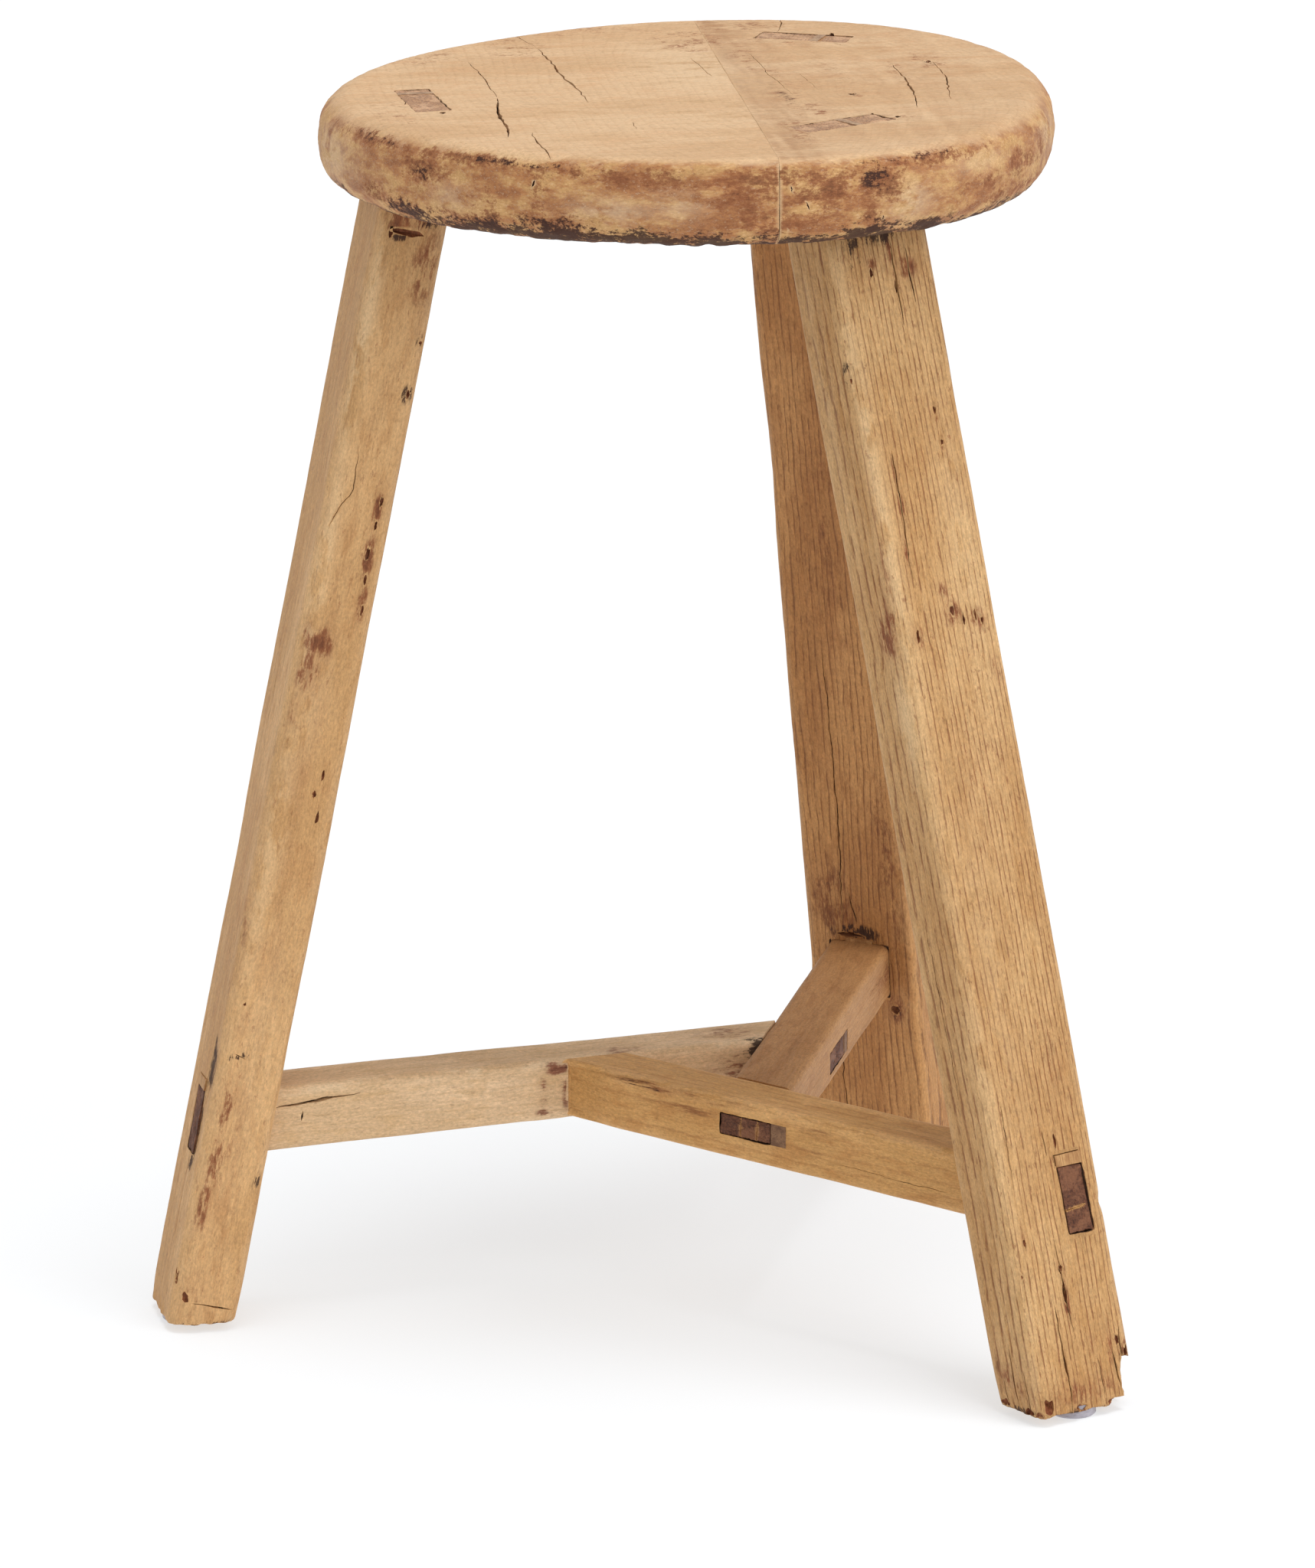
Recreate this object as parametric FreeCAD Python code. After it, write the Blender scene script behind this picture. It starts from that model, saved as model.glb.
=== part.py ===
"""Three-legged wooden stool with a round two-board seat and three interlocking stretchers.

Everything is in millimetres, +Z up. The parts are built around the seat's axis with the floor at Z = 0,
and are then moved together so that the origin is the bottom centre of the whole stool's box.
"""

import FreeCAD
import Part

import math
import os
from FreeCAD import Vector

# ---------------------------------------------------------------- driving dimensions
GLIDE_DIAMETER = 19.0
GLIDE_THICKNESS = 6.0
GLIDE_EDGE_CHAMFER = 0.8
GLIDE_OUTWARD_OFFSET = 4.0

NAIL_SHANK_RADIUS = 1.1
NAIL_HEAD_RADIUS = 4.0
NAIL_HEAD_THICKNESS = 1.2
NAIL_HEAD_Z = 1.8
NAIL_TIP_Z = 24.0
NAIL_POINT_LENGTH = 3.0

SEAT_TOP_Z = 518.0
SEAT_RADIUS = 155.0
SEAT_THICKNESS = 36.5
SEAT_TOP_EDGE_RADIUS = 9.5
SEAT_BOTTOM_EDGE_RADIUS = 15.0
# The hand-sawn outline wanders from a circle: harmonic number to its cosine and sine shares of the radius.
SEAT_WANDER = {2: (-0.008, 0.044), 3: (-0.031, 0.007), 4: (-0.005, 0.003)}
SEAT_OUTLINE_POINTS = 36

BOARD_JOINT_X = 14.5
BOARD_JOINT_SLOPE_DEG = 4.0
PIN_RADIUS = 3.0
PIN_LENGTH = 30.0
PIN_STATIONS = (-50.0, 30.0, 110.0)

# Each leg: polar place (radius, azimuth) of its centre line at the seat's top and at the foot, the azimuth
# its wide face looks to, and its section.
LEGS = {
    "left": dict(top=(116.0, 184.5), foot=(216.5, 181.5), facing=182.5, width=46.0, depth=29.5),
    "front": dict(top=(96.5, -65.5), foot=(223.5, -58.0), facing=-64.0, width=51.0, depth=29.5),
    "back": dict(top=(113.5, 58.0), foot=(225.5, 57.5), facing=55.0, width=48.0, depth=33.0),
}
LEG_CORNER_RADIUS = 4.0

# The tenon through the seat: width along the leg's wide face, the azimuth its broad side looks to, how far
# it stands sideways and outwards from the leg's centre line, and where its wedge sits along its width.
SEAT_TENON_DEPTH = 14.5
SEAT_TENONS = {
    "left": dict(width=46.0, facing=182.5, sideways=0.0, outwards=1.0, wedge_at=-15.0),
    "front": dict(width=45.0, facing=-63.0, sideways=2.5, outwards=0.0, wedge_at=4.0),
    "back": dict(width=40.0, facing=63.0, sideways=-1.0, outwards=4.0, wedge_at=-6.0),
}

# Each stretcher runs from its leg past the stool's axis and ends in the side of the stretcher named in
# "into": its heading from the leg, how far to the left of the axis its centre line passes, its height at
# the leg and at the other end, and the width and mid-height of the flat tenon at that other end.
STRETCHERS = {
    "left": dict(
        heading=9.5, offset=28.0, into="back", heights=(27.5, 26.0), tenon_width=27.5, tenon_z=87.0
    ),
    "back": dict(
        heading=248.0, offset=34.5, into="front", heights=(25.0, 24.0), tenon_width=24.0, tenon_z=90.0
    ),
    "front": dict(
        heading=131.0, offset=26.5, into="left", heights=(27.5, 25.0), tenon_width=24.0, tenon_z=88.5
    ),
}
STRETCHER_TOP_Z = 101.5
STRETCHER_WIDTH = 27.5
STRETCHER_CORNER_RADIUS = 2.0

LEG_TENON_THICKNESS = 12.5
CROSS_TENON_HEIGHT = 9.2

# Wedges: thickness at the driven end and at the tip.
LEG_WEDGE = (4.4, 1.2)
CROSS_WEDGE = (5.5, 1.5)
SEAT_WEDGE = (3.4, 0.8)
SEAT_WEDGE_LENGTH = 27.0

FAR = 1000.0


# ---------------------------------------------------------------- helpers
def polar(radius, azimuth_deg, z):
    a = math.radians(azimuth_deg)
    return Vector(radius * math.cos(a), radius * math.sin(a), z)


def heading_vector(azimuth_deg):
    return polar(1.0, azimuth_deg, 0.0)


def oriented_box(corner, along, across, up, size):
    """A box with one corner at corner, its three edges along the given unit vectors."""
    base = [corner]
    base.append(corner + along * size[0])
    base.append(corner + along * size[0] + across * size[1])
    base.append(corner + across * size[1])
    face = Part.Face(Part.makePolygon(base + base[:1]))
    return face.extrude(up * size[2])


def prism(points, direction):
    """The solid swept by a flat polygon along a vector."""
    return Part.Face(Part.makePolygon(list(points) + [points[0]])).extrude(direction)


def z_slab(low, high):
    return Part.makeBox(2 * FAR, 2 * FAR, high - low, Vector(-FAR, -FAR, low))


def rounded_section(centre, u, v, width, depth, radius):
    """A flat rounded rectangle, width along u and depth along v, as a face."""
    half_u, half_v = width / 2, depth / 2
    edges = []
    ends = []
    for su, sv in ((1, 1), (-1, 1), (-1, -1), (1, -1)):
        corner = centre + u * (su * half_u) + v * (sv * half_v)
        middle = corner - u * (su * radius) - v * (sv * radius)
        on_v = middle + v * (sv * radius)
        on_u = middle + u * (su * radius)
        bulge = middle + (u * su + v * sv) * (radius / math.sqrt(2))
        first, last = (on_u, on_v) if su * sv > 0 else (on_v, on_u)
        ends.append((first, bulge, last))
    for i, (first, bulge, last) in enumerate(ends):
        edges.append(Part.Arc(first, bulge, last).toShape())
        edges.append(Part.makeLine(last, ends[(i + 1) % 4][0]))
    return Part.Face(Part.Wire(edges))


# ---------------------------------------------------------------- legs
class Bar:
    """An endless straight bar: its centre line and the directions of its section."""

    def __init__(self, foot, top, facing):
        self.foot = foot
        self.top = top
        self.axis = (top - foot).normalize()
        sideways = heading_vector(facing + 90.0)
        self.out = sideways.cross(self.axis).normalize()
        self.side = self.axis.cross(self.out).normalize()

    def at_height(self, z):
        return self.foot + self.axis * ((z - self.foot.z) / self.axis.z)

    def solid(self, width, depth, radius=0.0):
        """The bar from a little below the foot to a little above the top."""
        start = self.foot - self.axis * 60.0
        length = (self.top - self.foot).Length + 120.0
        if radius:
            face = rounded_section(start, self.side, self.out, width, depth, radius)
            return face.extrude(self.axis * length)
        corner = start - self.side * (width / 2) - self.out * (depth / 2)
        return oriented_box(corner, self.side, self.out, self.axis, (width, depth, length))


class Leg(Bar):
    """One leg with its seat tenon and the wedge across the tenon's end."""

    def __init__(self, spec, tenon):
        foot = polar(*spec["foot"], GLIDE_THICKNESS)
        top = polar(*spec["top"], SEAT_TOP_Z)
        Bar.__init__(self, foot, top, spec["facing"])
        self.width = spec["width"]
        self.depth = spec["depth"]
        shift = self.side * tenon["sideways"] + self.out * tenon["outwards"]
        self.tenon = Bar(foot + shift, top + shift, tenon["facing"])
        self.tenon_width = tenon["width"]
        self.wedge_at = tenon["wedge_at"]

    def slab(self):
        """The space between the planes of the two wide faces."""
        return self.solid(self.width + 40.0, self.depth)

    def blank(self):
        """The leg's body up to the seat's underside, and its tenon through the seat."""
        body = self.solid(self.width, self.depth, LEG_CORNER_RADIUS)
        body = body.common(z_slab(GLIDE_THICKNESS, SEAT_TOP_Z - SEAT_THICKNESS))
        return body.fuse(self.seat_tenon()).removeSplitter()

    def seat_tenon(self):
        tenon = self.tenon.solid(self.tenon_width, SEAT_TENON_DEPTH)
        return tenon.common(z_slab(SEAT_TOP_Z - SEAT_THICKNESS, SEAT_TOP_Z))

    def seat_wedge(self):
        """A thin wedge driven down across the end of the seat tenon, cut flush with the seat."""
        head, tip = SEAT_WEDGE
        proud = 5.0
        bar = self.tenon
        head_half = head / 2 * (1 + proud / SEAT_WEDGE_LENGTH)
        middle = bar.at_height(SEAT_TOP_Z) + bar.side * self.wedge_at - bar.out * (SEAT_TENON_DEPTH / 2)
        above = middle + bar.axis * proud
        below = middle - bar.axis * SEAT_WEDGE_LENGTH
        outline = [above - bar.side * head_half, above + bar.side * head_half]
        outline += [below + bar.side * (tip / 2), below - bar.side * (tip / 2)]
        wedge = prism(outline, bar.out * SEAT_TENON_DEPTH)
        return wedge.common(z_slab(0.0, SEAT_TOP_Z))


# ---------------------------------------------------------------- stretchers
class Stretcher:
    """One stretcher: a level bar with an upright tenon at its leg and a flat one at its other end."""

    def __init__(self, spec, leg):
        self.along = heading_vector(spec["heading"])
        self.left = heading_vector(spec["heading"] + 90.0)
        self.middle = self.left * spec["offset"]
        self.heights = spec["heights"]
        self.tenon_width = spec["tenon_width"]
        self.tenon_low = spec["tenon_z"] - CROSS_TENON_HEIGHT / 2
        self.tenon_high = spec["tenon_z"] + CROSS_TENON_HEIGHT / 2
        self.leg = leg
        self.host = None
        self.start = (leg.at_height(STRETCHER_TOP_Z) - self.middle).dot(self.along)

    def join(self, host):
        """Sets the stretcher this one ends in, and which of its sides looks towards that one's leg."""
        self.host = host
        self.end = (host.middle - self.middle).dot(host.left) / self.along.dot(host.left)
        self.leg_side = self.left if self.left.dot(host.along) < 0 else self.left * -1.0

    def block(self, start, end, low, high, width=STRETCHER_WIDTH):
        """A block from start to end along the stretcher, centred on its centre line."""
        corner = self.middle + self.along * start - self.left * (width / 2) + Vector(0, 0, low)
        size = (end - start, width, high - low)
        return oriented_box(corner, self.along, self.left, Vector(0, 0, 1), size)

    def channel(self, low, high):
        """Everything between the planes of this stretcher's two upright faces."""
        return self.block(-FAR, FAR, low, high)

    def leg_tenon(self):
        """The upright tenon, flush with the leg's outer face."""
        near, far = self.start - 2 * self.leg.depth, self.start + 2 * self.leg.depth
        low = STRETCHER_TOP_Z - self.heights[0]
        block = self.block(near, far, low, STRETCHER_TOP_Z, LEG_TENON_THICKNESS)
        return block.common(self.leg.slab())

    def leg_wedge(self):
        """The wedge on top of the upright tenon, thickest at the leg's outer face."""
        head, tip = LEG_WEDGE
        mean = (head + tip) / 2
        half_run = self.leg.depth
        rise = (head - tip) / self.leg.depth * half_run
        base = self.middle - self.left * (LEG_TENON_THICKNESS / 2) + Vector(0, 0, STRETCHER_TOP_Z)
        inner = base + self.along * (self.start + half_run)
        outer = base + self.along * (self.start - half_run)
        inner_height = Vector(0, 0, max(mean - rise, 0.2))
        outer_height = Vector(0, 0, mean + rise)
        wedge = prism(
            [outer, inner, inner + inner_height, outer + outer_height], self.left * LEG_TENON_THICKNESS
        )
        return wedge.common(self.leg.slab())

    def cross_tenon(self):
        """The flat tenon, flush with the far side of the stretcher it passes through."""
        near, far = self.end - 2 * STRETCHER_WIDTH, self.end + 2 * STRETCHER_WIDTH
        block = self.block(near, far, self.tenon_low, self.tenon_high, self.tenon_width)
        block.translate(self.leg_side * ((self.tenon_width - STRETCHER_WIDTH) / 2))
        return block.common(self.host.channel(self.tenon_low, self.tenon_high))

    def cross_wedge(self):
        """The wedge beside the flat tenon, thickest at the far side of the stretcher it passes through."""
        head, tip = CROSS_WEDGE
        mean = (head + tip) / 2
        half_run = STRETCHER_WIDTH
        rise = (head - tip) / STRETCHER_WIDTH * half_run
        edge = self.middle + self.leg_side * (self.tenon_width - STRETCHER_WIDTH / 2)
        edge.z = self.tenon_low
        near = edge + self.along * (self.end - half_run)
        far = edge + self.along * (self.end + half_run)
        near_width = self.leg_side * max(mean - rise, 0.2)
        far_width = self.leg_side * (mean + rise)
        wedge = prism([near, far, far + far_width, near + near_width], Vector(0, 0, CROSS_TENON_HEIGHT))
        return wedge.common(self.host.channel(self.tenon_low, self.tenon_high))

    def section(self, station, height):
        centre = self.middle + self.along * station + Vector(0, 0, STRETCHER_TOP_Z - height / 2)
        face = rounded_section(
            centre, self.left, Vector(0, 0, 1), STRETCHER_WIDTH, height, STRETCHER_CORNER_RADIUS
        )
        return face.OuterWire

    def blank(self):
        """The tapering body between the leg and the other stretcher, with both tenons."""
        sections = [self.section(self.start, self.heights[0]), self.section(self.end, self.heights[1])]
        body = Part.makeLoft(sections, True, True)
        body = body.cut(self.leg.slab()).cut(self.host.channel(0.0, SEAT_TOP_Z))
        return body.fuse(self.leg_tenon()).fuse(self.cross_tenon()).removeSplitter()


# ---------------------------------------------------------------- seat
def seat_radius(angle):
    share = 1.0
    for harmonic, (cosine, sine) in SEAT_WANDER.items():
        share += cosine * math.cos(harmonic * angle) + sine * math.sin(harmonic * angle)
    return SEAT_RADIUS * share


def seat_blank():
    """The whole seat as one rounded slab, before it is parted into boards."""
    underside = SEAT_TOP_Z - SEAT_THICKNESS
    points = []
    for i in range(SEAT_OUTLINE_POINTS):
        angle = 2 * math.pi * i / SEAT_OUTLINE_POINTS
        radius = seat_radius(angle)
        points.append(Vector(radius * math.cos(angle), radius * math.sin(angle), underside))
    curve = Part.BSplineCurve()
    curve.interpolate(Points=points, PeriodicFlag=True)
    slab = Part.Face(Part.Wire(curve.toShape())).extrude(Vector(0, 0, SEAT_THICKNESS))
    slab = slab.makeFillet(SEAT_TOP_EDGE_RADIUS, [rim_edge(slab, SEAT_TOP_Z)])
    return slab.makeFillet(SEAT_BOTTOM_EDGE_RADIUS, [rim_edge(slab, underside)])


def rim_edge(solid, z):
    for edge in solid.Edges:
        box = edge.BoundBox
        if abs(box.ZMin - z) < 0.01 and abs(box.ZMax - z) < 0.01:
            return edge
    raise ValueError("the seat has no rim edge at that height")


def joint_directions():
    """Along the board joint, and across it towards the right-hand board."""
    along = heading_vector(90.0 - BOARD_JOINT_SLOPE_DEG)
    return along, heading_vector(-BOARD_JOINT_SLOPE_DEG)


def board(slab, to_right):
    along, across = joint_directions()
    side = across if to_right else across * -1.0
    corner = Vector(BOARD_JOINT_X, 0, 0) - along * FAR / 2
    half = oriented_box(corner, along, side, Vector(0, 0, 1), (FAR, FAR, FAR))
    return slab.common(half)


def seat_pins():
    """Hidden pins across the board joint, at mid thickness."""
    along, across = joint_directions()
    middle_z = SEAT_TOP_Z - SEAT_THICKNESS / 2
    pins = []
    for station in PIN_STATIONS:
        start = Vector(BOARD_JOINT_X, 0, middle_z) + along * station - across * (PIN_LENGTH / 2)
        pins.append(Part.makeCylinder(PIN_RADIUS, PIN_LENGTH, start, across))
    return pins


# ---------------------------------------------------------------- glides
def glide_centre(leg):
    flat_out = Vector(leg.out.x, leg.out.y, 0).normalize()
    return Vector(leg.foot.x, leg.foot.y, 0) + flat_out * GLIDE_OUTWARD_OFFSET


def glide_nail(leg):
    """A nail whose head is buried in the pad and whose shank stands in the foot."""
    centre = glide_centre(leg)
    up = Vector(0, 0, 1)
    neck_z = NAIL_HEAD_Z + NAIL_HEAD_THICKNESS
    straight = NAIL_TIP_Z - NAIL_POINT_LENGTH
    head = Part.makeCylinder(NAIL_HEAD_RADIUS, NAIL_HEAD_THICKNESS, centre + up * NAIL_HEAD_Z, up)
    shank = Part.makeCylinder(NAIL_SHANK_RADIUS, straight - neck_z, centre + up * neck_z, up)
    point = Part.makeCone(NAIL_SHANK_RADIUS, 0.2, NAIL_POINT_LENGTH, centre + up * straight, up)
    return head.fuse([shank, point]).removeSplitter()


def glide_pad(leg, nail):
    radius = GLIDE_DIAMETER / 2
    centre = glide_centre(leg)
    up = Vector(0, 0, 1)
    rim = Part.makeCone(radius - GLIDE_EDGE_CHAMFER, radius, GLIDE_EDGE_CHAMFER, centre, up)
    wall_height = GLIDE_THICKNESS - GLIDE_EDGE_CHAMFER
    wall = Part.makeCylinder(radius, wall_height, centre + up * GLIDE_EDGE_CHAMFER, up)
    return rim.fuse(wall).removeSplitter().cut(nail)


# ---------------------------------------------------------------- assembly
def seat_parts(legs):
    seat = seat_blank()
    for leg in legs.values():
        seat = seat.cut(leg.seat_tenon())
    pins = seat_pins()
    for pin in pins:
        seat = seat.cut(pin)
    return {
        "seat_board_left": board(seat, to_right=False),
        "seat_board_right": board(seat, to_right=True),
        "seat_pins": Part.makeCompound(pins),
    }


def leg_parts(name, leg, stretcher):
    nail = glide_nail(leg)
    seat_wedge = leg.seat_wedge()
    leg_wedge = stretcher.leg_wedge()
    solid = leg.blank()
    for guest in (seat_wedge, leg_wedge, stretcher.leg_tenon(), nail):
        solid = solid.cut(guest)
    return {
        "leg_" + name: solid,
        "seat_wedge_" + name: seat_wedge,
        "leg_wedge_" + name: leg_wedge,
        "glide_nail_" + name: nail,
        "glide_" + name: glide_pad(leg, nail),
    }


def stretcher_parts(name, stretcher, guests):
    solid = stretcher.blank()
    for guest in guests:
        solid = solid.cut(guest.cross_tenon()).cut(guest.cross_wedge())
    return {"stretcher_" + name: solid, "cross_wedge_" + name: stretcher.cross_wedge()}


def build():
    legs = {name: Leg(spec, SEAT_TENONS[name]) for name, spec in LEGS.items()}
    stretchers = {name: Stretcher(spec, legs[name]) for name, spec in STRETCHERS.items()}
    for name, spec in STRETCHERS.items():
        stretchers[name].join(stretchers[spec["into"]])

    parts = seat_parts(legs)
    for name, stretcher in stretchers.items():
        guests = [other for other in stretchers.values() if other.host is stretcher]
        parts.update(leg_parts(name, legs[name], stretcher))
        parts.update(stretcher_parts(name, stretcher, guests))
    return parts


def centre_on_origin(parts):
    """Moves every part so that the origin is the bottom centre of the whole box."""
    whole = FreeCAD.BoundBox()
    for shape in parts.values():
        whole.add(shape.optimalBoundingBox(False, False))
    shift = Vector(-whole.Center.x, -whole.Center.y, -whole.ZMin)
    for shape in parts.values():
        shape.translate(shift)
    return shift


def main():
    os.makedirs("parts", exist_ok=True)
    parts = build()
    shift = centre_on_origin(parts)
    print("seat axis is at x %.3f, y %.3f" % (shift.x, shift.y))
    for name, shape in sorted(parts.items()):
        solids = shape.Solids
        if not solids or not all(s.isValid() and s.Volume > 0 for s in solids):
            raise ValueError(name + " is not made of valid solids")
        solid = solids[0] if len(solids) == 1 else Part.makeCompound(solids)
        solid.exportStep("parts/" + name + ".step")


main()
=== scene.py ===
"""Weathered three-legged stool: its looks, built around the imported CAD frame.

Lengths inside the helpers are in millimetres, in the frame's axes; meshes are made in metres.
"""

import math

import bmesh
import bpy
import numpy as np
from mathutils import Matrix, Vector


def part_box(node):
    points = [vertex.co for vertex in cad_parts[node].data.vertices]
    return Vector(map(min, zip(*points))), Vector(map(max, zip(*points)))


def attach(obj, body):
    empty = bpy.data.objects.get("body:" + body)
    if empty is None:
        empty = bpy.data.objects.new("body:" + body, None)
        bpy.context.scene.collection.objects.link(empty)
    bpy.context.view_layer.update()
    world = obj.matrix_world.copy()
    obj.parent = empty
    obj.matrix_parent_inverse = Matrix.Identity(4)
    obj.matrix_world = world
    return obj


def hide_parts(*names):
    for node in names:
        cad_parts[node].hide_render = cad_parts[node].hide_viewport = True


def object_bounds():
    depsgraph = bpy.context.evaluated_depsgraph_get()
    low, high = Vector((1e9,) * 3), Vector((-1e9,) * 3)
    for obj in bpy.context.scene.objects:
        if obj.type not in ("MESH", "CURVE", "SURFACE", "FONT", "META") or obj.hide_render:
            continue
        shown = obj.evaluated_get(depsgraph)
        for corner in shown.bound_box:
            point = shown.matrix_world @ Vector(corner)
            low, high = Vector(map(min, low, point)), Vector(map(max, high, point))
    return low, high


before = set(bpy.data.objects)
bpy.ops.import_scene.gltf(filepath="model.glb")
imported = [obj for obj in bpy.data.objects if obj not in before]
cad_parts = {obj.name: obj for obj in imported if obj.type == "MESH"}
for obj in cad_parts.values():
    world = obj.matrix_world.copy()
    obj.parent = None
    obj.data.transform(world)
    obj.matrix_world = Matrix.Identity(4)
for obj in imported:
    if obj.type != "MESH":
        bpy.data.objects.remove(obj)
cad_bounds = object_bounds()

MM = 0.001
LEGS = ("left", "front", "back")
UP = np.array([0.0, 0.0, 1.0])


# ---------------------------------------------------------------- noise
LATTICE = np.random.default_rng(11).random(4096)


def noise(points, size, seed=0):
    """Smooth values from -1 to 1; size is the extent of one bump, or one extent for each axis."""
    scaled = np.asarray(points, float) / np.asarray(size, float) + 17.31 * seed
    cell = np.floor(scaled).astype(np.int64)
    part = scaled - cell
    part = part**3 * (part * (part * 6 - 15) + 10)
    total = np.zeros(scaled.shape[:-1])
    for corner in range(8):
        step = np.array([corner & 1, corner >> 1 & 1, corner >> 2 & 1])
        weight = np.where(step, part, 1 - part).prod(axis=-1)
        key = (cell + step) @ np.array([73856093, 19349663, 83492791])
        total += weight * LATTICE[(key ^ key >> 12 ^ key >> 5) & 4095]
    return total * 2 - 1


def smooth(value, low, high):
    t = np.clip((value - low) / (high - low), 0, 1)
    return t * t * (3 - 2 * t)


def spots(points, spec):
    """The strongest of several soft spots, each (place, extents, strength)."""
    total = np.zeros(points.shape[:-1])
    for place, extent, strength in spec:
        reach = (((points - np.array(place)) / np.array(extent)) ** 2).sum(axis=-1)
        total = np.maximum(total, strength * np.exp(-reach))
    return total


def unit(vector):
    vector = np.asarray(vector, float)
    return vector / np.linalg.norm(vector, axis=-1, keepdims=True)


# ---------------------------------------------------------------- reading the frame
def cad_mesh(node):
    """A CAD node's welded points in mm and its triangles."""
    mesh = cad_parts[node].data
    mesh.calc_loop_triangles()
    points = np.empty(len(mesh.vertices) * 3)
    mesh.vertices.foreach_get("co", points)
    triangles = np.empty(len(mesh.loop_triangles) * 3, np.int32)
    mesh.loop_triangles.foreach_get("vertices", triangles)
    welded, index = np.unique(np.round(points.reshape(-1, 3) / MM, 3), axis=0, return_inverse=True)
    triangles = index.ravel()[triangles].reshape(-1, 3)
    a, b, c = triangles.T
    return welded, triangles[(a != b) & (b != c) & (a != c)]


def flat_faces(points, triangles):
    """The normals of a mesh's flat faces, the largest face first."""
    corners = points[triangles]
    normals = np.cross(corners[:, 1] - corners[:, 0], corners[:, 2] - corners[:, 0])
    areas = np.linalg.norm(normals, axis=1)
    normals = normals[areas > 1e-6] / areas[areas > 1e-6, None]
    areas = areas[areas > 1e-6]
    _, group = np.unique(np.round(normals * 100), axis=0, return_inverse=True)
    group = group.ravel()
    order = np.argsort(-np.bincount(group, areas))
    return [unit((normals[group == g] * areas[group == g, None]).sum(0)) for g in order]


class Bar:
    """A straight timber: a point on its centre line, its axis and the two directions of its section."""

    def __init__(self, centre, axis, x, y, half_x, half_y):
        self.centre, self.axis, self.x, self.y = centre, axis, x, y
        self.half_x, self.half_y = half_x, half_y

    def local(self, points):
        offset = points - self.centre
        return np.stack([offset @ self.x, offset @ self.y, offset @ self.axis], axis=-1)

    def place(self, x, y, s):
        return self.centre + x[..., None] * self.x + y[..., None] * self.y + s[..., None] * self.axis

    def station(self, x, y, plane):
        """How far along the bar a line at (x, y) meets a plane (normal, offset)."""
        normal, offset = plane
        start = self.centre + x[..., None] * self.x + y[..., None] * self.y
        return (offset - start @ normal) / (normal @ self.axis)

    def meets(self, plane):
        """How far along its centre line the bar meets a plane."""
        zero = np.array(0.0)
        return float(self.station(zero, zero, plane))

    def at_height(self, z, x=0.0, y=0.0):
        """The point at height z on the line at (x, y) of the section."""
        x, y = np.array(float(x)), np.array(float(y))
        return self.place(x, y, self.station(x, y, (UP, z)))


def spread(points, direction):
    reach = points @ direction
    return (reach.max() + reach.min()) / 2, (reach.max() - reach.min()) / 2


def bar_between(points, axis, x, y):
    """The bar whose section just holds the points."""
    (mid_x, half_x), (mid_y, half_y) = spread(points, x), spread(points, y)
    mid_s = (points @ axis).min()
    return Bar(mid_x * x + mid_y * y + mid_s * axis, axis, x, y, half_x, half_y)


seat_boxes = [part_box(n) for n in ("seat_board_left", "seat_board_right")]
SEAT_TOP = max(high.z for low, high in seat_boxes) / MM
SEAT_LOW = min(low.z for low, high in seat_boxes) / MM


def leg_bars(name):
    """The leg's body and its seat tenon; x runs along the wide faces and y looks outwards."""
    points, triangles = cad_mesh("leg_" + name)
    below = points[points[:, 2] < SEAT_LOW - 5]
    faces = flat_faces(points, triangles)
    out = faces[0]
    if out @ below.mean(0) < 0:
        out = -out
    side = next(n for n in faces if abs(n @ out) < 0.05 and abs(n[2]) < 0.8)
    axis = np.cross(out, side)
    if axis[2] < 0:
        side, axis = -side, -axis
    body = bar_between(below, axis, side, out)
    above = points[:, 2] > SEAT_LOW + 1
    high = triangles[above[triangles].any(axis=1)]
    broad = next(n for n in flat_faces(points, high) if abs(n @ axis) < 0.01)
    broad = broad if broad @ out > 0 else -broad
    tenon = bar_between(points[above], axis, np.cross(broad, axis) * -1.0, broad)
    return body, tenon


def stretcher_bar(name):
    """A stretcher from its leg inwards; x looks across it and y is up."""
    points, triangles = cad_mesh("stretcher_" + name)
    side = next(n for n in flat_faces(points, triangles) if abs(n[2]) < 0.05)
    axis = np.cross(side, UP)
    if bodies[name].at_height(SEAT_LOW / 5) @ axis > points.mean(0) @ axis:
        axis = -axis
    return bar_between(points, axis, np.cross(UP, axis), UP)


bodies, tenons = {}, {}
for leg in LEGS:
    bodies[leg], tenons[leg] = leg_bars(leg)
stretchers = {name: stretcher_bar(name) for name in LEGS}
HOSTS = {"left": "back", "back": "front", "front": "left"}


# ---------------------------------------------------------------- meshes
def merge(parts):
    """Several (points, faces) as one."""
    points, faces, start = [], [], 0
    for part_points, part_faces in parts:
        points.append(part_points)
        faces += [[i + start for i in face] for face in part_faces]
        start += len(part_points)
    return np.concatenate(points), faces


def add_object(name, points, faces, values=None):
    mesh = bpy.data.meshes.new(name)
    mesh.from_pydata((points * MM).tolist(), [], faces)
    for key, value in (values or {}).items():
        layer = mesh.attributes.new(key, "FLOAT", "POINT")
        layer.data.foreach_set("value", np.asarray(value, np.float32))
    mesh.validate()
    piece = bpy.data.objects.new(name, mesh)
    bpy.context.scene.collection.objects.link(piece)
    return piece


def cutter(points, faces, dirt=1.0, rust=0.0):
    values = {"dirt": np.full(len(points), dirt), "rust": np.full(len(points), rust)}
    return add_object("cutter", points, faces, values)


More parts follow.
